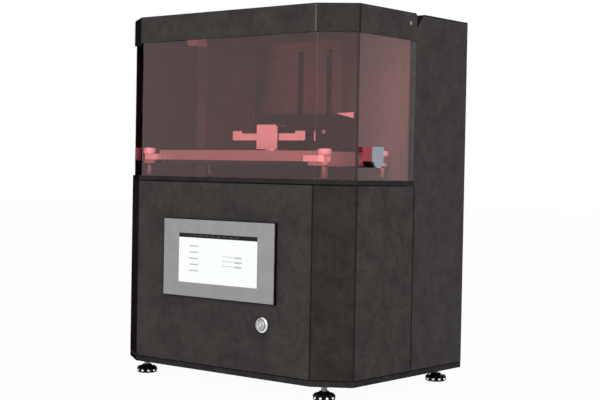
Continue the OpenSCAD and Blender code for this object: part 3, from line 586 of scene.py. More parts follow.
@dataclass(frozen=True)
class LitPanel(Finish):
    """A lit display with a dark bar of dull tabs along its top and three columns of plain grey rows."""

    page: ClassVar[Colour] = srgb(251, 253, 254)
    row: ClassVar[Colour] = srgb(198, 200, 202)
    bar: ClassVar[Colour] = srgb(24, 24, 25)
    tab: ClassVar[Colour] = srgb(74, 74, 76)
    bar_start: ClassVar[float] = 0.915
    tab_count: ClassVar[float] = 13.0
    tab_gap: ClassVar[float] = 0.4
    glass: ClassVar[Colour] = (0.005, 0.005, 0.005)
    rough: ClassVar[float] = 0.2
    gloss: ClassVar[float] = 0.1
    glow: ClassVar[float] = 0.99
    left: float
    low: float
    width: float
    height: float

    def fill(self, tree: Tree) -> None:
        """Put the display's nodes into the tree."""
        place = tree.parts(tree.object_place())
        u = tree.sum("DIVIDE", tree.sum("SUBTRACT", place[0], self.left), self.width)
        v = tree.sum("DIVIDE", tree.sum("SUBTRACT", place[2], self.low), self.height)
        menu, labels, values, tabs = (
            self.mask(tree, u, v, bars) for bars in (MENU_BARS, LABEL_BARS, VALUE_BARS, TAB_BARS)
        )
        beat = tree.sum("FRACT", tree.sum("MULTIPLY", u, self.tab_count))
        dashes = tree.sum("GREATER_THAN", beat, self.tab_gap)
        rows = tree.sum("MAXIMUM", tree.sum("MAXIMUM", menu, labels), values)
        page = tree.mix(rows, self.page, self.row)
        bar = tree.mix(tree.sum("MULTIPLY", tabs, dashes), self.bar, self.tab)
        shader = tree.add(
            "ShaderNodeBsdfPrincipled",
            Base_Color=self.glass,
            Roughness=self.rough,
            Specular_IOR_Level=self.gloss,
            Emission_Color=tree.mix(tree.sum("GREATER_THAN", v, self.bar_start), page, bar),
            Emission_Strength=self.glow,
        )
        self.close(tree, shader.outputs[0])

    def mask(self, tree: Tree, u: object, v: object, bars: Bars) -> bpy.types.NodeSocket:
        """Place a column of bars at the panel's shares u and v, and return its mask's socket."""
        sizes = {name.capitalize(): size for name, size in asdict(bars).items()}
        return self.effect(tree, Effect.ROWS, U=u, V=v, **sizes).outputs[0]


CHARCOAL = Coat("charcoal_coat", srgb(54, 51, 50), srgb(72, 69, 67))
SIDE_COAT = Coat("side_coat", srgb(58, 55, 54), srgb(77, 74, 72), gloss=0.0)
CHARCOAL_INSIDE = Coat("charcoal_inside", srgb(44, 42, 41), srgb(58, 56, 55))
RIM_COAT = Coat("rim_coat", srgb(42, 40, 39), srgb(55, 53, 52))
# Painted light: the chamber's back wall is painted paler towards the right, as if lit there and shaded on
# the left.
CHAMBER_PAINTED_LIGHT_COAT = PaintedLightCoat(
    "chamber_coat", srgb(60, 57, 57), srgb(76, 73, 73), pale=srgb(117, 113, 113), start=0.06, end=0.2
)
DARK_PLATE = Coat("dark_plate_coat", srgb(44, 42, 41), srgb(62, 60, 58), cloud=40.0)
BLACK_COAT = Coat("black_coat", srgb(4, 4, 4), srgb(10, 10, 10), cloud=40.0)
EDGE_TRIM = Coat("edge_trim", srgb(78, 78, 76), srgb(92, 92, 89), cloud=60.0)
# Dark coat for the rear seams, and for strips that paint shade on bends.
SEAM_AND_PAINTED_SHADE_COAT = Coat("seam_coat", srgb(30, 28, 28), srgb(40, 38, 37), cloud=60.0)
# Painted highlight: a pale strip for a glint along a bend.
PAINTED_HIGHLIGHT_LINE = Coat("pale_line", srgb(88, 86, 84), srgb(102, 100, 98), cloud=60.0)
DARK_CASTING = Coat("dark_casting", srgb(30, 28, 27), srgb(42, 39, 38), cloud=60.0, rough=0.42)
COLUMN_COAT = Coat("column_coat", srgb(118, 111, 111), srgb(132, 125, 125), cloud=40.0)
BRACKET_COAT = Coat("bracket_coat", srgb(236, 234, 234), srgb(246, 244, 244), cloud=60.0)
COVER_PLATE = Coat("cover_plate", srgb(116, 108, 108), srgb(132, 124, 124), cloud=30.0, rough=0.42)
BLACK_OXIDE = Coat("black_oxide", srgb(24, 24, 24), srgb(44, 44, 45), cloud=200.0, rough=0.35, gloss=0.4)
ALUMINIUM = Metal("milled_aluminium", (0.98, 0.98, 1.0), (0.9, 0.9, 0.93), (900.0, 900.0, 60.0))
VAT_METAL = Metal("vat_metal", (0.46, 0.46, 0.46), (0.36, 0.36, 0.36), (40.0, 1500.0, 1500.0), 0.4)
POST_METAL = Metal("polished_posts", (0.2, 0.2, 0.2), (0.15, 0.15, 0.15), (900.0, 900.0, 60.0), 0.14)
PIN_METAL = Metal("pin_metal", (0.36, 0.36, 0.36), (0.28, 0.28, 0.28), (1400.0, 60.0, 60.0), 0.4)
GRIP_METAL = Metal("grip_metal", (0.33, 0.37, 0.43), (0.26, 0.3, 0.35), (1600.0, 1600.0, 40.0), 0.38)
STEEL = Metal("ground_steel", (0.66, 0.67, 0.68), (0.5, 0.51, 0.52), (60.0, 60.0, 2600.0), 0.25)
BUTTON_RING = Metal("button_ring", (0.82, 0.82, 0.81), (0.68, 0.68, 0.67), (1400.0, 1400.0, 1400.0), 0.22)
BUTTON_FACE = Metal("button_face", (0.52, 0.52, 0.52), (0.42, 0.42, 0.42), (1400.0, 1400.0, 1400.0), 0.3)
BRASS = Metal("machined_brass", (0.72, 0.56, 0.28), (0.58, 0.43, 0.2), (60.0, 60.0, 1800.0), 0.3)
BLACK_PLASTIC = Plastic("black_moulded", srgb(18, 18, 18), srgb(30, 30, 30))
SEAL_BLACK = Plastic("seal_black", srgb(6, 6, 6), srgb(12, 12, 12), 1500.0, 0.5, 0.05)
SCREEN_BLACK = Plastic("screen_black", srgb(8, 8, 8), srgb(14, 14, 14), 1500.0, 0.45, 0.1)
FOOT_PLASTIC = Plastic("foot_black", srgb(5, 5, 5), srgb(9, 9, 9), 900.0, 0.18, 0.1)
GREY_FRAME = Plastic("grey_frame", srgb(154, 154, 155), srgb(161, 161, 162), 2200.0, 0.45, 0.15)
SPACER = Plastic("spacer_crimson", srgb(150, 52, 66), srgb(168, 66, 80), 1800.0, 0.3)
PAD = Plastic("pad_crimson", srgb(236, 196, 216), srgb(242, 204, 224), 1800.0, 0.3)
ROCKER_RED = Plastic("rocker_red", srgb(176, 34, 30), srgb(196, 60, 52), 1200.0, 0.28)
LIGHT_CASE = Plastic("light_case", srgb(206, 206, 202), srgb(190, 190, 186), 1100.0, 0.5)
BOARD = Plastic("board_green", srgb(36, 96, 60), srgb(28, 78, 50), 600.0, 0.35)
TINTED = Pane("red_tinted_pane", (0.97, 0.28, 0.28), (0.95, 0.26, 0.26), 0.012, 1.47)
CLEAR = Pane("clear_window", (0.9, 0.95, 0.97), (0.86, 0.92, 0.95), 0.02, 1.5)
FILM = Pane("release_film", (0.93, 0.92, 0.9), (0.88, 0.87, 0.84), 0.12, 1.34)


# Surfaces


def surface(name: str, grids: list[np.ndarray], sharp: float = SHARP) -> bpy.types.Object:
    """Make one mesh object from grids of points.

    Each grid is rows by columns by 3. Neighbouring points are joined into quads, points that coincide at
    seams and poles are merged, and the faces are turned outwards.

    Args:
        name: The piece's name.
        grids: The grids of points.
        sharp: The angle in degrees past which an edge stays sharp.

    Returns:
        The new object, at the origin.
    """
    points, faces, count = [], [], 0
    for grid in grids:
        rows, columns, _ = grid.shape
        corner = np.arange(rows * columns).reshape(rows, columns) + count
        quads = np.stack([corner[:-1, :-1], corner[1:, :-1], corner[1:, 1:], corner[:-1, 1:]], -1)
        points.append(grid.reshape(-1, 3))
        faces.append(quads.reshape(-1, 4))
        count += rows * columns
    place, quads = np.concatenate(points), np.concatenate(faces)
    mesh = bpy.data.meshes.new(name)
    mesh.vertices.add(len(place))
    mesh.vertices.foreach_set("co", place.astype(np.float32).ravel())
    mesh.loops.add(quads.size)
    mesh.loops.foreach_set("vertex_index", quads.astype(np.int32).ravel())
    mesh.polygons.add(len(quads))
    mesh.polygons.foreach_set("loop_start", np.arange(0, quads.size, 4, dtype=np.int32))
    mesh.update(calc_edges=True)
    work = bmesh.new()
    work.from_mesh(mesh)
    bmesh.ops.remove_doubles(work, verts=work.verts, dist=SEAM_GAP)
    bmesh.ops.dissolve_degenerate(work, edges=work.edges, dist=SLIVER)
    bmesh.ops.recalc_face_normals(work, faces=work.faces)
    work.to_mesh(mesh)
    work.free()
    mesh.polygons.foreach_set("use_smooth", np.ones(len(mesh.polygons), dtype=bool))
    mesh.set_sharp_from_angle(angle=math.radians(sharp))
    made = bpy.data.objects.new(name, mesh)
    bpy.context.scene.collection.objects.link(made)
    return made


def full_turn(steps: int) -> np.ndarray:
    """Return the angles of a full turn in even steps, with the last equal to the first to close it."""
    angle = np.linspace(0, 2 * np.pi, steps + 1)
    angle[-1] = 0.0
    return angle


def turned(
    profile: np.ndarray, centre: Vector, axis: Axis, steps: int = 64, lobes: np.ndarray | None = None
) -> np.ndarray:
    """Carry a profile round an axis.

    The point at angle a and profile row k is centre + r_k * lobe(a) across the axis + h_k along it, where
    r and h are the profile's radius and height, and lobe is 1 unless radii by angle are given for the rows
    that ask for them.

    Args:
        profile: Rows of radius and height, in metres.
        centre: The point where the height is 0.
        axis: The axis's direction.
        steps: Steps round the axis.
        lobes: Optional factors, profile rows by steps + 1.

    Returns:
        A grid of points, profile rows by steps + 1 by 3.
    """
    angle = full_turn(steps)
    radius = np.repeat(profile[:, :1], steps + 1, axis=1)
    if lobes is not None:
        radius = radius * lobes
    height = np.repeat(profile[:, 1:2], steps + 1, axis=1)
    first, second = radius * np.cos(angle), radius * np.sin(angle)
    parts = (first, second, height) if axis is Axis.UP else (first, height, second)
    return np.stack(parts, -1) + np.array(centre)


def rounded(points: list[tuple[float, float]], radius: float, steps: int = 4) -> np.ndarray:
    """Round the inner corners of a profile given in millimetres.

    Each corner is replaced by a quadratic curve that starts and ends at most radius, or 45% of the shorter
    side, away from it: (1-t)^2 * start + 2t(1-t) * corner + t^2 * end.

    Args:
        points: The profile's corners, radius and height.
        radius: How far from the corner the curve starts.
        steps: Steps along each curve.

    Returns:
        Rows of radius and height, in metres.
    """
    corners = np.array(points, float)
    share = np.linspace(0, 1, steps + 1)[:, None]
    rows = [corners[:1]]
    for before, here, after in zip(corners[:-2], corners[1:-1], corners[2:]):
        to_before, to_after = before - here, after - here
        far_before, far_after = np.linalg.norm(to_before), np.linalg.norm(to_after)
        reach = min(radius, BEND_SHARE * far_before, BEND_SHARE * far_after)
        start = here + to_before / far_before * reach
        end = here + to_after / far_after * reach
        rows.append((1 - share) ** 2 * start + 2 * share * (1 - share) * here + share**2 * end)
    rows.append(corners[-1:])
    return np.concatenate(rows) * MM


def capped(reach: np.ndarray, angle: np.ndarray, height: np.ndarray, spot: Vector) -> np.ndarray:
    """Place an upright wall by its radii, and close both of its ends to a point on its axis.

    The point at row k and angle a is spot + reach * (cos a, sin a) at the row's height.

    Args:
        reach: Radii, rows by steps.
        angle: Angles, one row of steps.
        height: Heights, one column of rows.
        spot: A point on the axis.

    Returns:
        A grid of points, rows + 2 by steps by 3.
    """
    wall = np.stack([spot.x + reach * np.cos(angle), spot.y + reach * np.sin(angle), height + 0 * angle], -1)
    ends = [wall[[row]] * [0, 0, 1] + [spot.x, spot.y, 0] for row in (0, -1)]
    return np.concatenate([ends[0], wall, ends[1]])


def runs(values: np.ndarray, gap: float) -> np.ndarray:
    """Find the middles of runs of values.

    Args:
        values: The values, in any order.
        gap: A larger step than this between sorted values starts a new run.

    Returns:
        The middle of each run, in rising order.
    """
    ordered = np.unique(values)
    parts = np.split(ordered, np.flatnonzero(np.diff(ordered) > gap) + 1)
    return np.array([(part[0] + part[-1]) / 2 for part in parts])


def middle(node: str) -> Vector:
    """Return the middle of a solid's box."""
    low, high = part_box(node)
    return (low + high) / 2


def add_piece(
    name: str,
    grids: list[np.ndarray],
    body: str,
    finish: Finish,
    slot: str,
    *stands_for: str,
    sharp: float = SHARP,
) -> bpy.types.Object:
    """Make a new piece from grids of points, give it its finish and let it ride on a body.

    Args:
        name: The piece's name.
        grids: Its grids of points.
        body: The body that it moves with.
        finish: Its finish.
        slot: The name of a material slot; not used.
        *stands_for: Solids that it stands for.
        sharp: The angle in degrees past which an edge stays sharp.

    Returns:
        The new piece.
    """
    piece = surface(name, grids, sharp)
    piece.data.materials.append(finish.material())
    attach(piece, body)
    if stands_for:
        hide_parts(*stands_for)
    log.info("made %s on %s", name, body)
    return piece


def dress(finish: Finish, *nodes: str, edge: float = 0.0) -> None:
    """Give solids of the frame a finish, and soften their edges.

    Args:
        finish: The finish.
        *nodes: The solids' names.
        edge: Width of the softened edge in millimetres, or 0 for none.
    """
    for name in nodes:
        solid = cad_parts[name]
        solid.data.materials.clear()
        solid.data.materials.append(finish.material())
        if edge > 0:
            weld = solid.modifiers.new("weld", "WELD")
            weld.merge_threshold = WELD_GAP
            bevel = solid.modifiers.new("soft_edge", "BEVEL")
            bevel.width = edge * MM
            bevel.segments = EDGE_STEPS
            bevel.limit_method = "ANGLE"
            bevel.angle_limit = math.radians(EDGE_ANGLE)
            bevel.harden_normals = False
        log.info("dressed %s with %s", name, finish.name)


def closed_shell(outer: np.ndarray, inner: np.ndarray, low: float, high: float) -> list[np.ndarray]:
    """Close the space between two lines in plan, carried from one height to another.

    Args:
        outer: One wall's line.
        inner: The other wall's line, with as many points.
        low: The lower height.
        high: The upper height.

    Returns:
        Grids for the two walls, the top, the bottom and the two ends.
    """
    levels = np.linspace(low, high, WALL_LEVELS)

    def lift(line: np.ndarray, height: float) -> np.ndarray:
        """Put a line at a height."""
        return np.concatenate([line, np.full((len(line), 1), height)], axis=1)

    walls = [np.stack([lift(line, z) for z in levels]) for line in (outer, inner)]
    flats = [np.stack([lift(outer, z), lift(inner, z)]) for z in (low, high)]
    ends = [np.stack([walls[0][:, k], walls[1][:, k]], 1) for k in (0, -1)]
    return walls + flats + ends


def slab(face: list[list[tuple[float, float]]], near: float, far: float) -> list[np.ndarray]:
    """Give a face with four corners a thickness along the depth.

    Args:
        face: The lower and the upper edge's ends, each as x and z.
        near: The front's place along the depth.
        far: The rear's place along the depth.

    Returns:
        Grids for the front, the rear and the rim between them.
    """
    flat = np.array(face)
    sides = [np.stack([flat[..., 0], np.full((2, 2), y), flat[..., 1]], -1) for y in (near, far)]
    edges, ends = [0, 0, 1, 1, 0], [0, 1, 1, 0, 0]
    rim = np.stack([side[edges, ends] for side in sides])
    return sides + [rim]


def beside(line: np.ndarray, *outs: float) -> list[np.ndarray]:
    """Move a line in plan along its normal, once for each distance.

    The normal at a point is the line's direction there, turned by a quarter to the right.

    Args:
        line: The line's points.
        *outs: The distances in millimetres.

    Returns:
        The moved lines.
    """
    along = np.gradient(line, axis=0)
    normal = np.stack([along[:, 1], -along[:, 0]], -1) / np.linalg.norm(along, axis=1, keepdims=True)
    return [line + out * MM * normal for out in outs]


def corner_nodes(kind: str) -> list[str]:
    """Return the names of the four solids of a kind that stand at the corners."""
    return [f"{kind}_{row}_{side.name.lower()}" for row in ("front", "rear") for side in Side]


# Sub-assemblies


class Bend(Enum):
    """The right slanted corner's bends, by their place among the outline's four from the left rear."""

    RIGHT_FRONT = 2
    RIGHT_SIDE = 3


@dataclass(frozen=True)
class Outline:
    """The cabinet's outline in plan: a front, two slanted corners and two sides. Sizes in millimetres."""

    half_width: float = 243.0
    corner_wide: float = 55.0
    corner_deep: float = 38.0
    band_bend: float = 2.0
    strip_out: float = 0.4
    strip_sunk: float = 0.6

    def origin(self) -> np.ndarray:
        """Return the place of the middle of the cabinet's front, in metres."""
        return np.array([middle("front_panel").x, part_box("front_panel")[0].y])

    def corners(self, inset: float, depth: float) -> list[tuple[float, float]]:
        """Find the corners of a line that runs inside the outline, parallel to it.

        Args:
            inset: The line's distance from the outline.
            depth: The rear ends' distance from the cabinet's front.

        Returns:
            x and y from the middle of the cabinet's front, from the left rear end to the right rear end.
        """
        wide, deep = self.corner_wide, self.corner_deep
        slope = math.hypot(wide, deep)
        front = self.half_width - wide - inset * deep / slope + inset * (1 - wide / slope) * wide / deep
        side = inset * wide / slope + (wide - inset + inset * deep / slope) * deep / wide
        edge = self.half_width - inset
        return [(-edge, depth), (-edge, side), (-front, inset), (front, inset), (edge, side), (edge, depth)]

    def corner_patch(self, side: Side, times: Colour) -> PaintedLightBox:
        """Find the box of space that holds a slanted corner's face below the lid's top, where shade is
        painted.

        Args:
            side: Which corner.
            times: What the colour is multiplied by there.

        Returns:
            The patch.
        """
        x, front = self.origin()
        reach = (self.half_width - self.corner_wide, self.half_width + 1)
        ends = sorted(x + side.value * far * MM for far in reach)
        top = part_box("hood_cap")[1].z - MM
        return PaintedLightBox(times, (ends[0], front - MM, 0.0), (ends[1], front + self.corner_deep * MM, top))

    def band(self, out: float, thick: float, depth: float, low: float, high: float) -> list[np.ndarray]:
        """Carry a flat band round the front and the sides, between two lines parallel to the outline.

        Args:
            out: How far the band stands out of the outline.
            thick: The band's thickness.
            depth: The rear ends' distance from the cabinet's front.
            low: The lower height in metres.
            high: The upper height in metres.

        Returns:
            The band's grids of points.
        """
        lines = [
            rounded(self.corners(inset, depth), self.band_bend, 3) + self.origin()
            for inset in (-out, thick - out)
        ]
        return closed_shell(*lines, low, high)

    def bend_strip(
        self, bend: Bend, inset: float, radius: float, low: float, high: float
    ) -> list[np.ndarray]:
        """Carry a thin strip up one bend of a line parallel to the outline.

        The strip's walls are the bend's curve, moved out and in along its normal by a fraction of a
        millimetre.

        Args:
            bend: Which bend.
            inset: The line's distance from the outline.
            radius: How far from the bend's corner the strip reaches.
            low: The lower height in metres.
            high: The upper height in metres.

        Returns:
            The strip's grids of points.
        """
        steps = 6
        line = rounded(self.corners(inset, self.half_width), radius, steps)
        part = line[1 + bend.value * (steps + 1):][: steps + 1]
        walls = beside(part + self.origin(), self.strip_out, -self.strip_sunk)
        return closed_shell(*walls, low, high)


OUTLINE = Outline()
# Painted shade: factors that darken the left slanted corners strongly and the right ones a little, as if
# they faced away from the light.
LEFT_CORNER_PAINTED_SHADE = (0.24, 0.17, 0.18)
RIGHT_CORNER_PAINTED_SHADE = (0.64, 0.62, 0.61)
LID_CORNER_PAINTED_SHADE = (0.78, 0.78, 0.77)
# Painted light: factors that make the rear flanges' front faces paler, as if lit.
LEFT_FLANGE_PAINTED_LIGHT = (2.6, 2.5, 2.5)
RIGHT_FLANGE_PAINTED_LIGHT = (3.1, 3.0, 3.0)
# Painted shade: factors for the tray's skirt, the grip spacer's underside and the arm's right ends.
SKIRT_PAINTED_SHADE = (0.06, 0.06, 0.06)
UNDER_PAINTED_SHADE = (0.01, 0.01, 0.01)
END_PAINTED_SHADE = (0.12, 0.12, 0.12)


@dataclass
class Cabinet:
    """The sheet-metal cabinet, its deck and the chamber's back wall. Sizes are in millimetres."""

    screw_head: float = 3.5
    screw_rise: float = 2.0
    screw_bend: float = 0.5
    screw_steps: int = 18
    socket: float = 1.8
    seam: float = 1.2
    seam_out: float = 0.2
    seam_thick: float = 2.0
    rear_strip: float = 3.6
    rear_sunk: float = 0.8
    flange: float = 241.5
    lip_wide: float = 28.0
    lip_deep: float = 12.0
    lip_thick: float = 2.0
    lip_bend: float = 3.0

    def build(self) -> None:
        """Make the screw heads on the back panel, the dark seams of the base and the cover's lips."""
        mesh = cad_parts["panel_screws"].data
        place = np.empty(3 * len(mesh.vertices), dtype=np.float32)
        mesh.vertices.foreach_get("co", place)
        low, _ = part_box("panel_screws")
        apart = 4 * self.screw_head * MM
        across, up = runs(place[0::3], apart), runs(place[2::3], apart)
        grids = [self.head(Vector((x, low.y, z))) for x in across for z in up]
        add_piece("panel_screw_heads", grids, "cabinet", BLACK_OXIDE, "black_screws", "panel_screws")
        self.seams()
        add_piece("cover_lips", self.lips(), "cabinet", COVER_PLATE, "bare_aluminium")

    def lips(self) -> list[np.ndarray]:
        """Bend a lip onto each upright edge of the column cover.

        In plan a lip runs on from the cover's edge and then turns to the back, as a sheet of even
        thickness.

        Returns:
            The lips' grids of points.
        """
        low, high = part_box("column_cover")
        start, face = (high.x - low.x) / 2 / MM, low.y / MM
        grids = []
        for side in Side:
            walls = []
            for inner in (0.0, self.lip_thick):
                end = start + self.lip_wide - inner
                corners = [(start, face + inner), (end, face + inner), (end, face + self.lip_deep)]
                line = rounded(corners, self.lip_bend)
                walls.append(line * (side.value, 1) + (middle("column_cover").x, 0))
            grids += closed_shell(*walls, low.z, high.z)
        return grids

    def seams(self) -> None:
        """Make the bend strips of painted shade at the right slanted corner, and the seams at the rear and
        round the foot.
        """
        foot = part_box("bottom_plate")[1].z
        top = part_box("deck_plate")[1].z - self.seam * MM
        depth = (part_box("back_panel")[1].y - OUTLINE.origin()[1]) / MM - self.seam
        ring = OUTLINE.band(self.seam_out, self.seam_thick, depth, foot, foot + self.seam * MM)
        add_piece("base_seam", ring, "cabinet", SEAL_BLACK, "black_plastic")
        # Painted shade: dark strips up the right slanted corner's bends; the front one also lies on the
        # joint of the front and side panels.
        for bend in (Bend.RIGHT_FRONT, Bend.RIGHT_SIDE):
            strip = OUTLINE.bend_strip(bend, 0.0, self.seam, foot + self.seam * MM, top)
            add_piece(f"base_seam_{bend.name.lower()}", strip, "cabinet", SEAM_AND_PAINTED_SHADE_COAT, "charcoal_sheet")
        for side in Side:
            strip = self.rear_seam(side, foot, top)
            add_piece(f"rear_seam_{side.name.lower()}", strip, "cabinet", SEAM_AND_PAINTED_SHADE_COAT, "charcoal_sheet")

    def rear_seam(self, side: Side, low: float, high: float) -> list[np.ndarray]:
        """Cover the joint between the base's side and the rear's side with a thin strip.

        Args:
            side: Which side.
            low: The lower height in metres.
            high: The upper height in metres.

        Returns:
            The strip's grids of points.
        """
        joint = (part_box("side_panels")[1].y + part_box("rear_sides")[0].y) / 2
        depth = joint + np.array([-0.5, 0.5]) * self.rear_strip * MM
        walls = []
        for out in (self.seam_out, -self.rear_sunk):
            face = OUTLINE.origin()[0] + side.value * (OUTLINE.half_width + out) * MM
            walls.append(np.stack([np.full(2, face), depth], -1))
        return closed_shell(*walls, low, high)

    def head(self, centre: Vector) -> np.ndarray:
        """Carry a domed head with a socket round its axis.

        Args:
            centre: Where the head meets the panel.

        Returns:
            The head's grid of points.
        """
        rise = self.screw_rise
        outline = rounded(
            [(0, 0), (self.screw_head, 0), (self.screw_head, rise * 0.55), (self.screw_head * 0.72, rise),
             (self.socket, rise), (self.socket, rise * 0.4), (0, rise * 0.3)],
            self.screw_bend,
        )
        return turned(outline, centre, Axis.BACK, self.screw_steps)

    def dress(self) -> None:
        """Give the cabinet's solids their finishes."""
        dress(CHARCOAL, "front_panel", "back_panel", edge=0.5)
        # Painted shade on the side panels' slanted corners.
        left_corner = OUTLINE.corner_patch(Side.LEFT, LEFT_CORNER_PAINTED_SHADE)
        right_corner = OUTLINE.corner_patch(Side.RIGHT, RIGHT_CORNER_PAINTED_SHADE)
        dress(replace(SIDE_COAT, patches=(left_corner, right_corner)), "side_panels", edge=0.5)
        # Painted light on the front faces of the rear sides' flanges.
        x, face, reach = OUTLINE.origin()[0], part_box("rear_sides")[0].y, self.flange * MM
        left = PaintedLightBox(LEFT_FLANGE_PAINTED_LIGHT, (x - reach, face - MM, 0.0), (x, face + MM, 1.0))
        right = PaintedLightBox(RIGHT_FLANGE_PAINTED_LIGHT, (x, face - MM, 0.0), (x + reach, face + MM, 1.0))
        dress(replace(CHARCOAL, name="rear_coat", patches=(left, right)), "rear_sides", edge=0.5)
        dress(BLACK_COAT, "rear_top_cover", edge=0.5)
        # Painted shade on the bottom plate's left slanted corner.
        dress(replace(DARK_PLATE, gloss=0.0, patches=(left_corner,)), "bottom_plate", edge=1.0)
        dress(CHARCOAL_INSIDE, "deck_plate", "frame_uprights")
        dress(CHAMBER_PAINTED_LIGHT_COAT, "chamber_wall")
        dress(COVER_PLATE, "column_cover")
        dress(BRACKET_COAT, "hinge_brackets", edge=0.6)
        dress(PIN_METAL, "hinge_pins", edge=0.5)


@dataclass
class Hood:
    """The tinted hood with its lid, rim and side grip. Sizes are in millimetres."""

    inset: float = 3.0
    thick: float = 4.0
    bend: float = 1.5
    trim_deep: float = 9.5
    trim_wall: float = 0.6
    trim_share: float = 0.95
    trim_gap: float = 0.2
    seal_gap: float = 0.1
    seal_up: float = 1.0
    seal_end: float = 4.0
    seal_out: float = 0.25
    seal_thick: float = 5.0
    pane_strip: float = 2.4
    lid_strip: float = 1.2
    # The share of the grip spacer's height that is painted in shade from below.
    under_share: float = 0.3
    pad_start: float = 2.5
    pad_wide: float = 12.0
    pad_thick: float = 3.5
    pad_low: float = 26.0
    pad_tall: float = 21.5
    pad_gap: float = 0.05
    pad_edge: float = 1.5

    def build(self) -> None:
        """Make the bent pane, its edge trim, the seal, the bend strips of painted shade and highlight, and
        the left pad.
        """
        low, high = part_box("hood_panes")
        add_piece("bent_pane", self.bent(low, high), "hood", TINTED, "tinted_pane", "hood_panes")
        add_piece("pane_edge_trim", self.channel(low, high), "hood", EDGE_TRIM, "hood_metal")
        add_piece("rim_seal", self.seal(), "hood", SEAL_BLACK, "black_plastic")
        rim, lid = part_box("hood_rim")[1].z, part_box("hood_cap")
        low, high = lid[0].z, lid[1].z - MM
        # Strips on the bends: dark ones paint shade on the right side bend of the pane and of the lid, and a
        # pale one paints a highlight on the lid's front bend.
        strips = (
            ("pane_seam", CHARCOAL, Bend.RIGHT_SIDE, self.inset, self.pane_strip, rim, low),
            ("lid_seam", SEAM_AND_PAINTED_SHADE_COAT, Bend.RIGHT_SIDE, 0.0, self.lid_strip, low, high),
            ("lid_line", PAINTED_HIGHLIGHT_LINE, Bend.RIGHT_FRONT, 0.0, self.lid_strip, low, high),
        )
        for name, finish, *where in strips:
            add_piece(name, OUTLINE.bend_strip(*where), "hood", finish, "hood_metal")
        add_piece("left_grip_pad", self.pad(), "hood", PAD, "grip_spacer")

    def pad(self) -> list[np.ndarray]:
        """Carry a flat pad with rounded edges up the inside of the left side panel.

        Returns:
            The pad's grids of points.
        """
        low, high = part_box("hood_side_panel")
        face, start = high.x / MM + self.pad_gap, low.y / MM + self.pad_start
        rise, end = face + self.pad_thick, start + self.pad_wide
        inner = rounded([(face, start), (rise, start), (rise, end), (face, end)], self.pad_edge)
        outer = np.stack([np.full(len(inner), face * MM), inner[:, 1]], -1)
        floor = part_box("hood_rim")[1].z + self.pad_low * MM
        return closed_shell(outer, inner, floor, floor + self.pad_tall * MM)

    def seal(self) -> list[np.ndarray]:
        """Carry a bead round under the rim, and return its grids of points."""
        depth = (middle("hinge_pins").y - OUTLINE.origin()[1]) / MM - self.seal_end
        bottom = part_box("deck_plate")[1].z + self.seal_gap * MM
        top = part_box("hood_rim")[0].z + self.seal_up * MM
        return OUTLINE.band(self.seal_out, self.seal_thick, depth, bottom, top)

    def bent(self, low: Vector, high: Vector) -> list[np.ndarray]:
        """Give the pane's middle line its thickness, and carry it up.

        The line follows the left slanted corner, the front, the right slanted corner and the right side,
        with rounded bends. Each wall is the line moved by half the thickness along its normal, at every
        height, and strips between the walls close the ends, the top and the bottom.

        Args:
            low: The lowest corner of the panes' box.
            high: The highest corner of the panes' box.

        Returns:
            The pane's grids of points.
        """
        origin = OUTLINE.origin()
        corners = OUTLINE.corners(self.inset + self.thick / 2, (high.y - origin[1]) / MM)
        line = rounded(corners[1:], self.bend, 8) + origin
        return closed_shell(*beside(line, self.thick / 2, -self.thick / 2), low.z, high.z)

    def channel(self, low: Vector, high: Vector) -> list[np.ndarray]:
        """Carry a U-shaped strip up the pane's rear edge.

        The strip's two walls are a U and the same U moved inwards by the sheet's thickness, and strips
        between them close the ends, the top and the bottom.

        Args:
            low: The lowest corner of the panes' box.
            high: The highest corner of the panes' box.

        Returns:
            The strip's grids of points.
        """
        right, rear = high.x / MM + self.trim_wall, high.y / MM + self.trim_wall / 2
        left, start = right - self.thick - 2 * self.trim_wall, rear - self.trim_deep
        wall = self.trim_wall * self.trim_share
        outer = np.array([(right, start), (right, rear), (left, rear), (left, start)]) * MM
        right, left, rear = right - wall, left + wall, rear - wall
        inner = np.array([(right, start), (right, rear), (left, rear), (left, start)]) * MM
        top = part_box("hood_cheeks")[0].z
        return closed_shell(outer, inner, low.z, top - self.trim_gap * MM)

    def dress(self) -> None:
        """Give the hood's solids their finishes."""
        # Painted shade on the lid's slanted corners and on the rim's left slanted corner.
        left = OUTLINE.corner_patch(Side.LEFT, LEFT_CORNER_PAINTED_SHADE)
        right = OUTLINE.corner_patch(Side.RIGHT, LID_CORNER_PAINTED_SHADE)
        dress(replace(CHARCOAL, name="lid_coat", patches=(left, right)), "hood_cap", edge=0.8)
        dress(CHARCOAL, "hood_cheeks", "hood_side_panel", edge=0.4)
        dress(replace(RIM_COAT, gloss=0.0, patches=(left,)), "hood_rim", edge=0.4)
        # Painted shade: the grip spacer's lower part is darkened to black as if in shadow.
        low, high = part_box("handle_spacer")
        cut = low.z + self.under_share * (high.z - low.z)
        under = PaintedLightBox(UNDER_PAINTED_SHADE, tuple(low - Vector((MM, MM, MM))), (high.x + MM, high.y + MM, cut))
        dress(replace(SPACER, patches=(under,)), "handle_spacer", edge=0.4)
        dress(GRIP_METAL, "handle_plate", edge=1.0)


@dataclass
class TouchScreen:
    """The touch screen in its frame."""

    def dress(self) -> None:
        """Give the screen's solids their finishes."""
        low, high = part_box("screen_display")
        lit = LitPanel("lit_display", low.x, low.z, high.x - low.x, high.z - low.z)
        dress(lit, "screen_display")
        dress(GREY_FRAME, "screen_bezel", edge=0.7)
        dress(SCREEN_BLACK, "screen_housing", edge=0.6)


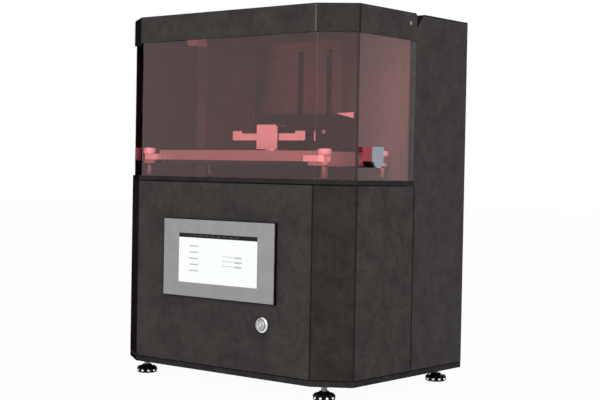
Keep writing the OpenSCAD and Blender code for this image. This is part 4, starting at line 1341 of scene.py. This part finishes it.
@dataclass
class PushButton:
    """The metal push button: a turned ring, and a cap with a groove and a centre dot.

    Each outline's rows are a radius and a distance behind the piece's face, in millimetres.
    """

    ring: float = 12.5
    well: float = 8.8
    cap: float = 8.4
    ring_bend: float = 0.6
    cap_bend: float = 0.35
    dot_bend: float = 0.5
    steps: int = 72
    dot_steps: int = 40

    def build(self) -> None:
        """Make the ring and the cap as turned pieces."""
        low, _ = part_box("button_housing")
        spot = middle("button_housing")
        panel = self.panel_depth()
        outline = [
            (self.well, 6.0), (self.well, 0.4), (self.well + 1.0, 0.0), (self.ring - 2.2, 0.0),
            (self.ring, 1.8), (self.ring, panel), (self.ring - 2.0, panel),
            (self.ring - 2.0, panel + 2.5), (self.well, panel + 2.5), (self.well, 6.0),
        ]
        face = Vector((spot.x, low.y, spot.z))
        rim = turned(rounded(outline, self.ring_bend), face, Axis.BACK, self.steps)
        add_piece("button_ring", [rim], "cabinet", BUTTON_RING, "button_metal", "button_housing")
        top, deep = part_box("button_cap")
        depth = (deep.y - top.y) / MM
        shape = [(0, 0.9), (2.2, 0.9), (4.8, 0.7), (5.3, 0.0), (self.cap - 0.9, 0.0), (self.cap, 0.9),
                 (self.cap, depth), (0, depth)]
        front = Vector((spot.x, top.y, spot.z))
        cap = turned(rounded(shape, self.cap_bend), front, Axis.BACK, self.steps)
        add_piece("button_face", [cap], "button", BUTTON_FACE, "button_metal", "button_cap")
        bead = [(0, 0.1), (1.2, 0.25), (2.0, 0.6), (2.2, 1.2), (0, 1.2)]
        dot = turned(rounded(bead, self.dot_bend), front, Axis.BACK, self.dot_steps)
        add_piece("button_dot", [dot], "button", BUTTON_RING, "button_metal")

    @staticmethod
    def panel_depth() -> float:
        """Return the distance from the ring's face to the front panel, in millimetres."""
        ring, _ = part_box("button_housing")
        panel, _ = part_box("front_panel")
        return (panel.y - ring.y) / MM


@dataclass
class Vat:
    """The resin vat on its posts, with the clamps and their knurled knobs."""

    ribs: int = 30
    rib_depth: float = 0.045
    rib_steps: int = 6
    knob_bend: float = 0.5
    knob_steps: int = 3
    rim_tall: float = 10.0
    screw: float = 2.9
    rim_edge: float = 0.8
    # tray_half and skirt size the box of painted shade on the tray's lower band.
    tray_half: float = 166.0
    skirt: float = 6.5

    def build(self) -> None:
        """Make the four knurled knobs."""
        for name in corner_nodes("vat_knob"):
            knob = [self.knob(name)]
            add_piece(f"{name}_knurled", knob, name, ALUMINIUM, "bare_aluminium", name, sharp=RIB_SHARP)

    def knob(self, node: str) -> np.ndarray:
        """Carry a knob's outline round its axis, with ribs on its rim.

        The rim's radius is multiplied by 1 - depth * (0.5 - 0.5 cos(ribs * angle)), and the other rows are
        round.

        Args:
            node: The solid that the knob stands for.

        Returns:
            The knob's grid of points.
        """
        low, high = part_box(node)
        spot = middle(node)
        radius = (high.x - low.x) / 2 / MM
        tall = (high.z - low.z) / MM
        rim = tall - self.rim_tall
        outline = rounded(
            [(0, 0), (self.screw, 0.4), (self.screw, rim), (radius - 1.2, rim),
             (radius, rim + 1.2), (radius, tall - 1.4), (radius - 1.4, tall), (5.6, tall),
             (5.0, tall - 1.2), (0, tall - 1.2)],
            self.knob_bend,
            self.knob_steps,
        )
        steps = self.ribs * self.rib_steps
        ribbed = (outline[:, 0] > (radius - self.rim_edge) * MM)[:, None]
        lobes = 1 - ribbed * self.rib_depth * (0.5 - 0.5 * np.cos(self.ribs * full_turn(steps)))[None, :]
        return turned(outline, Vector((spot.x, spot.y, low.z)), Axis.UP, steps, lobes)

    def dress(self) -> None:
        """Give the vat's solids their finishes."""
        # Painted shade: the tray's lowest band, its skirt, is darkened nearly to black as if in shadow.
        x, low = middle("vat_tray").x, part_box("vat_tray")[0].z
        reach, top = self.tray_half * MM, low + self.skirt * MM
        skirt = PaintedLightBox(SKIRT_PAINTED_SHADE, (x - reach, -1.0, low - MM), (x + reach, 1.0, top))
        dress(replace(VAT_METAL, patches=(skirt,)), "vat_tray", edge=0.5)
        dress(ALUMINIUM, "vat_lugs", edge=0.4)
        dress(POST_METAL, "vat_posts", edge=0.4)
        dress(FILM, "vat_film")
        dress(CLEAR, "exposure_window")


@dataclass
class Lift:
    """The lift: column, rails, screw, carriage and platform."""

    lead: float = 10.0
    starts: int = 5
    thread: float = 0.75
    thread_rows: int = 6
    thread_steps: int = 40
    shoulder_lap: float = 3.0
    shoulder_floor: float = 3.0
    shoulder_wide: float = 34.0
    shoulder_fall: float = 8.5
    shoulder_gap: float = 0.9
    shoulder_thick: float = 2.6
    flag_rise: float = 1.5
    bolt: float = 4.0
    bolt_rise: float = 1.8
    bolt_sunk: float = 0.2
    bolt_bend: float = 0.6
    bolt_steps: int = 24
    bolt_out: float = 58.2
    bolt_up: float = 35.0
    end_deep: float = 0.2

    def build(self) -> None:
        """Make the threaded screw, and the head's shoulder plate, flag and bolts."""
        grids, node = [self.threaded()], "lead_screw"
        add_piece(f"{node}_thread", grids, "screw", STEEL, "ground_steel", node, sharp=CURVE_SHARP)
        shoulder, flag = self.shoulder()
        add_piece("head_shoulder", shoulder, "lift", DARK_CASTING, "dark_plate")
        add_piece("head_flag", flag, "lift", ALUMINIUM, "bare_aluminium")
        add_piece("head_bolts", self.bolts(), "lift", ALUMINIUM, "bare_aluminium")

    def shoulder(self) -> tuple[list[np.ndarray], list[np.ndarray]]:
        """Set a plate with a falling top beside the head, in front of the wall, and a flag on its top.

        Returns:
            The plate's grids of points and the flag's.
        """
        low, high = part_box("carriage_head")
        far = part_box("chamber_wall")[0].y - self.shoulder_gap * MM
        near = far - self.shoulder_thick * MM
        start, end = high.x - self.shoulder_lap * MM, high.x + self.shoulder_wide * MM
        floor, top = low.z + self.shoulder_floor * MM, high.z
        fall = top - self.shoulder_fall * MM
        rise = top + self.flag_rise * MM
        plate = slab([[(start, floor), (end, floor)], [(start, top), (end, fall)]], near, far)
        flag = slab([[(start, top), (end, fall)], [(start, top), (end, rise)]], near, far)
        return plate, flag

    def bolts(self) -> list[np.ndarray]:
        """Set a domed bolt on each side of the head's front, and return their grids of points."""
        low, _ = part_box("carriage_head")
        wide, rise, sunk = self.bolt, self.bolt_rise, self.bolt_sunk
        corners = [(0, sunk), (wide, sunk), (wide, -0.4 * rise), (0.85 * wide, -rise), (0, -rise)]
        outline = rounded(corners, self.bolt_bend)
        height = low.z + self.bolt_up * MM
        spots = [middle("carriage_head").x + side.value * self.bolt_out * MM for side in Side]
        return [turned(outline, Vector((x, low.y, height)), Axis.BACK, self.bolt_steps) for x in spots]

    def threaded(self) -> np.ndarray:
        """Carry a helical thread along the screw.

        At angle a and height z the radius is R - thread * (0.5 - 0.5 cos(starts * (2 pi z / lead + a))), so
        each start rises by one lead in a turn. The ends close to a point on the axis.

        Returns:
            The screw's grid of points.
        """
        low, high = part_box("lead_screw")
        radius = (high.x - low.x) / 2
        spot = middle("lead_screw")
        pitch = self.lead / self.starts * MM
        height = np.linspace(low.z, high.z, int((high.z - low.z) / pitch * self.thread_rows))[:, None]
        angle = full_turn(self.thread_steps)[None, :]
        turn = self.starts * (2 * np.pi * (height - low.z) / (self.lead * MM) + angle)
        reach = radius - self.thread * MM * (0.5 - 0.5 * np.cos(turn))
        return capped(reach, angle, height, spot)

    def dress(self) -> None:
        """Give the lift's solids their finishes."""
        dress(COLUMN_COAT, "z_column")
        dress(DARK_CASTING, "carriage_plate")
        dress(STEEL, "z_rails", "carriage_blocks", "screw_bearings", "shaft_coupling")
        dress(BLACK_PLASTIC, "z_motor", edge=0.8)
        dress(BRASS, "screw_nut")
        dress(DARK_CASTING, "carriage_head", "platform_arm", edge=0.8)
        # Painted shade on the right ends of the crossbar and the platform block.
        arm = ("arm_crossbar", "platform_block")
        metal = replace(ALUMINIUM, name="arm_metal", patches=tuple(self.end_patch(node) for node in arm))
        dress(metal, *arm, edge=0.6)
        dress(ALUMINIUM, "build_platform", edge=0.6)

    def end_patch(self, node: str) -> PaintedLightBox:
        """Return the box that paints shade on a solid's right end, behind its front face."""
        low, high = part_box(node)
        start = (high.x - self.end_deep * MM, low.y + MM, low.z)
        return PaintedLightBox(END_PAINTED_SHADE, start, tuple(high + Vector((MM, MM, MM))))


@dataclass
class Services:
    """What is inside the base and on the back: light engine, electronics, fan and inlet."""

    blades: int = 7
    pitch_root: float = 48.0
    pitch_tip: float = 28.0
    hub: float = 14.7
    hub_bend: float = 0.8
    hub_steps: int = 48
    root_sunk: float = 0.8
    tip_gap: float = 0.6
    chord: float = 17.0
    blade_thick: float = 1.2

    def build(self) -> None:
        """Make the fan's hub and its twisted blades."""
        low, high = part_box("fan_rotor")
        spot = middle("fan_rotor")
        deep, hub = (high.y - low.y) / MM, self.hub
        corners = [(0, 0), (hub, 0), (hub, deep - 1), (hub - 3, deep), (0, deep)]
        outline = rounded(corners, self.hub_bend)
        body = turned(outline, Vector((spot.x, low.y, spot.z)), Axis.BACK, self.hub_steps)
        add_piece("fan_hub", [body], "fan", BLACK_PLASTIC, "black_plastic", "fan_rotor")
        tip = (high.x - low.x) / 2 / MM - self.tip_gap
        sheets = self.twisted(spot, hub - self.root_sunk, tip)
        blades = add_piece("fan_blades", sheets, "fan", BLACK_PLASTIC, "black_plastic", sharp=CURVE_SHARP)
        skin = blades.modifiers.new("skin", "SOLIDIFY")
        skin.thickness = self.blade_thick * MM
        skin.offset = 0.0

    def twisted(self, spot: Vector, root: float, tip: float) -> list[np.ndarray]:
        """Sweep a chord from the hub to the tip, turning it as it goes.

        At share s along the radius and c across the chord the blade lies at radius root + s (tip - root),
        turned from the plane of the disc by a pitch that falls evenly from root to tip.

        Args:
            spot: The fan's middle.
            root: Radius where the blade leaves the hub, in millimetres.
            tip: Radius of the blade's end, in millimetres.

        Returns:
            One grid of points for each blade.
        """
        share = np.linspace(0, 1, 9)[:, None]
        chord = np.linspace(-0.5, 0.5, 7)[None, :] * self.chord
        pitch = np.radians(self.pitch_root + share * (self.pitch_tip - self.pitch_root))
        radius = root + share * (tip - root)
        across, along = chord * np.cos(pitch), chord * np.sin(pitch)
        bend = across / radius
        grids = []
        for k in range(self.blades):
            angle = bend + k * 2 * np.pi / self.blades
            blade = np.stack([radius * np.cos(angle), along, radius * np.sin(angle)], -1)
            grids.append(blade * MM + np.array(spot))
        return grids

    def dress(self) -> None:
        """Give the services' solids their finishes."""
        dress(LIGHT_CASE, "projector_body", edge=2.0)
        dress(BLACK_PLASTIC, "projector_lens", "fan_frame")
        dress(BOARD, "control_board")
        dress(STEEL, "power_supply", edge=0.8)
        dress(BLACK_PLASTIC, "mains_inlet", edge=0.4)
        dress(ROCKER_RED, "rocker_switch", edge=0.4)


@dataclass
class LevellingFeet:
    """Four lobed feet on threaded studs."""

    lobes: int = 10
    outer: float = 17.5
    inner: float = 14.6
    knob: float = 11.0
    stud: float = 5.0
    pitch: float = 1.5
    thread: float = 0.5
    thread_rows: int = 6
    thread_steps: int = 32
    boss: float = 9.2
    bend: float = 1.6
    oval_sunk: float = 0.7
    oval_deep: float = 1.2
    oval_wide: float = 2.3
    oval_tall: float = 2.0
    oval_up: float = 4.6
    lobe_steps: int = 160

    def build(self) -> None:
        """Make each foot's lobed knob, its stud and its bright ovals of painted highlight."""
        for name in corner_nodes("foot"):
            low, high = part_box(name)
            spot = middle(name)
            base = Vector((spot.x, spot.y, low.z))
            knob, stud = [self.lobed(base)], [self.threaded(spot, high.z)]
            add_piece(f"{name}_knob", knob, name, FOOT_PLASTIC, "black_plastic", name, sharp=LOBE_SHARP)
            add_piece(f"{name}_stud", stud, name, STEEL, "ground_steel", sharp=CURVE_SHARP)
            # Painted highlights: bright metal ovals on the lobes stand for glints of light.
            add_piece(f"{name}_insets", self.ovals(base), name, ALUMINIUM, "bare_aluminium")

    def ovals(self, centre: Vector) -> list[np.ndarray]:
        """Set a bright oval into each lobe's outer face, as a painted highlight.

        At longitude a and latitude b the oval's point is its middle + deep cos b cos a outwards, wide
        cos b sin a sideways and tall sin b up. The middles lie on a circle, one to a lobe.

        Args:
            centre: The middle of the foot's underside.

        Returns:
            One grid of points for each lobe.
        """
        a = full_turn(16)[None, :]
        b = np.linspace(-np.pi / 2, np.pi / 2, 9)[:, None]
        out = (self.outer - self.oval_sunk + self.oval_deep * np.cos(b) * np.cos(a)) * MM
        side = self.oval_wide * MM * np.cos(b) * np.sin(a)
        up = (self.oval_up + self.oval_tall * np.sin(b) + 0 * a) * MM
        grids = []
        for turn in np.arange(self.lobes) * 2 * np.pi / self.lobes:
            x, y = out * np.cos(turn) - side * np.sin(turn), out * np.sin(turn) + side * np.cos(turn)
            grids.append(np.stack([x, y, up], -1) + np.array(centre))
        return grids

    def lobed(self, centre: Vector) -> np.ndarray:
        """Carry the knob's outline round its axis, with lobes on its rim.

        A rim row's radius is its share of inner + (outer - inner) * (0.5 + 0.5 cos(lobes * angle))^0.6, and
        the rows of the boss are round.

        Args:
            centre: The middle of the foot's underside.

        Returns:
            The knob's grid of points.
        """
        rim = rounded(
            [(0, 0), (self.outer - 1.6, 0), (self.outer, 2.0), (self.outer, self.knob - 3.2),
             (self.outer - 3.0, self.knob), (9.0, self.knob), (8.0, self.knob + 3.0),
             (self.stud - 0.5, self.knob + 3.0), (self.stud - 0.5, self.knob - 1.0), (0, self.knob - 1.0)],
            self.bend,
        )
        wave = (0.5 + 0.5 * np.cos(self.lobes * full_turn(self.lobe_steps))) ** 0.6
        star = (self.inner + (self.outer - self.inner) * wave) / self.outer
        share = np.clip((rim[:, :1] / MM - self.boss) / (self.outer - self.boss), 0, 1) ** 0.5
        return turned(rim, centre, Axis.UP, self.lobe_steps, 1 - share * (1 - star[None, :]))

    def threaded(self, spot: Vector, top: float) -> np.ndarray:
        """Carry a thread up the stud: its radius falls and rises once in each pitch as it climbs.

        Args:
            spot: The stud's place.
            top: The height of its upper end.

        Returns:
            The stud's grid of points.
        """
        low = (self.knob - 1.0) * MM
        pitch = self.pitch * MM
        height = np.linspace(low, top, int((top - low) / pitch * self.thread_rows))[:, None]
        angle = full_turn(self.thread_steps)[None, :]
        turn = 2 * np.pi * height / pitch - angle
        reach = self.stud * MM - self.thread * MM * (0.5 - 0.5 * np.cos(turn))
        return capped(reach, angle, height, spot)


@dataclass
class Studio:
    """The pale floor, the soft lamps, the white surround, two cards on the left, and the camera."""

    lens: float = 77.97
    turn: float = 39.14
    rise: float = 1.32
    roll: float = 1.05
    eye: tuple[float, float, float] = (1.4005, -1.69825, 0.3508)
    sensor: float = 36.0
    clip: tuple[float, float] = (0.05, 60.0)
    aim: float = 0.3
    floor_half: float = 9.0
    floor_white: float = 0.97
    light_share: float = 0.48
    card_far: float = 1.6
    card_low: float = 0.01
    card_high: float = 2.0

    def build(self) -> None:
        """Make the floor, the lamps, the surround, the cards and the camera."""
        self.floor()
        self.surround()
        self.card("dark_card", start=-140.0, end=-54.0, glow=0.0)
        self.card("grey_card", start=-54.0, end=14.0, glow=0.88)
        self.lamp("key", turn=52.0, rise=34.0, far=2.6, wide=2.0, power=24.0)
        self.lamp("front_fill", turn=8.0, rise=20.0, far=2.8, wide=2.0, power=13.0)
        self.lamp("back_fill", turn=200.0, rise=40.0, far=2.8, wide=2.2, power=14.0)
        self.lamp("top", turn=20.0, rise=80.0, far=2.4, wide=2.0, power=9.0)
        self.camera()

    def floor(self) -> None:
        """Lay the pale floor, a flat sheet whose height is 0 everywhere."""
        share = np.linspace(-self.floor_half, self.floor_half, 4)
        across, deep = np.meshgrid(share, share, indexing="ij")
        sheet = surface("floor", [np.stack([across, deep, 0 * across], -1)])
        made, tree = blank_material("pale_floor")
        pale = tree.add("ShaderNodeBsdfDiffuse", Color=(0.88, 0.88, 0.88))
        white = tree.add("ShaderNodeEmission", Color=(1.0, 1.0, 1.0), Strength=1.0)
        share_white = tree.sum("MULTIPLY", self.seen(tree), self.floor_white)
        Finish.close(tree, tree.blend(share_white, pale, white))
        sheet.data.materials.append(made)

    @staticmethod
    def seen(tree: Tree) -> bpy.types.NodeSocket:
        """Return a socket that is 1 for rays that show the background, straight or in gloss and glass."""
        ray = tree.add("ShaderNodeLightPath").outputs
        direct = tree.sum("MAXIMUM", ray["Is Camera Ray"], ray["Is Glossy Ray"])
        return tree.sum("MAXIMUM", direct, ray["Is Transmission Ray"])

    def surround(self) -> None:
        """Make the surround white where it is seen, and softer where it lights the object."""
        world = bpy.data.worlds.new("white_surround")
        bpy.context.scene.world = world
        world.use_nodes = True
        world.node_tree.nodes.clear()
        tree = Tree(world.node_tree)
        power = tree.spread(self.seen(tree), self.light_share, 1.0)
        back = tree.add("ShaderNodeBackground", Color=(1.0, 1.0, 1.0), Strength=power)
        tree.add("ShaderNodeOutputWorld", Surface=back.outputs[0])

    def card(self, name: str, start: float, end: float, glow: float) -> None:
        """Stand a card on the left, which only gloss and glass see.

        The card is part of a round wall: at turn a and height z it lies at one distance from the middle,
        towards (sin a, -cos a).

        Args:
            name: The card's name.
            start: Its first edge's direction from the front towards the right, in degrees.
            end: Its other edge's direction.
            glow: How bright it is, with the surround at 1.
        """
        turn = np.radians(np.linspace(start, end, 24))[None, :]
        height = np.linspace(self.card_low, self.card_high, 4)[:, None]
        across, deep = self.card_far * np.sin(turn), -self.card_far * np.cos(turn)
        sheet = surface(name, [np.stack([across + 0 * height, deep + 0 * height, height + 0 * turn], -1)])
        made, tree = blank_material(name)
        Finish.close(tree, tree.add("ShaderNodeEmission", Strength=glow).outputs[0])
        sheet.data.materials.append(made)
        sheet.visible_camera = False
        sheet.visible_diffuse = False
        sheet.visible_shadow = False

    def lamp(self, name: str, turn: float, rise: float, far: float, wide: float, power: float) -> None:
        """Hang a square lamp that faces the object's middle.

        Args:
            name: The lamp's name.
            turn: Its direction from the front towards the right, in degrees.
            rise: Its height above the horizon, in degrees.
            far: Its distance from the object's middle.
            wide: The length of its side.
            power: Its power in watts.
        """
        light = bpy.data.lights.new(name, "AREA")
        light.size = wide
        light.energy = power
        a, e = math.radians(turn), math.radians(rise)
        way = Vector((math.sin(a) * math.cos(e), -math.cos(a) * math.cos(e), math.sin(e)))
        hung = bpy.data.objects.new(name, light)
        hung.location = Vector((0, 0, self.aim)) + way * far
        hung.rotation_euler = way.to_track_quat("Z", "Y").to_euler()
        hung.visible_camera = False
        bpy.context.scene.collection.objects.link(hung)

    def camera(self) -> None:
        """Place the camera where the photograph was taken from."""
        a, e, r = (math.radians(x) for x in (self.turn, self.rise, self.roll))
        back = Vector((math.sin(a) * math.cos(e), -math.cos(a) * math.cos(e), math.sin(e)))
        level = Vector((math.cos(a), math.sin(a), 0))
        up = back.cross(level)
        right = level * math.cos(r) + up * math.sin(r)
        above = up * math.cos(r) - level * math.sin(r)
        made = bpy.data.cameras.new("photo_camera")
        made.sensor_width = self.sensor
        made.lens = self.lens
        made.clip_start, made.clip_end = self.clip
        eye = bpy.data.objects.new("photo_camera", made)
        turned_by = Matrix((right, above, back)).transposed().to_4x4()
        eye.matrix_world = Matrix.Translation(Vector(self.eye)) @ turned_by
        bpy.context.scene.collection.objects.link(eye)
        bpy.context.scene.camera = eye


def main() -> None:
    """Build the looks in order."""
    logging.basicConfig(level=logging.INFO, format="%(name)s: %(message)s")
    bpy.context.scene.view_settings.view_transform = "Standard"
    for make in (make_mottle, make_brush, make_grain, make_rows, make_painted_light_box):
        make()
    Studio().build()
    for assembly in (Cabinet(), Hood(), PushButton(), Vat(), Lift(), Services(), LevellingFeet()):
        assembly.build()
    for assembly in (Cabinet(), Hood(), TouchScreen(), Vat(), Lift(), Services()):
        assembly.dress()


if __name__ == "__main__":
    main()
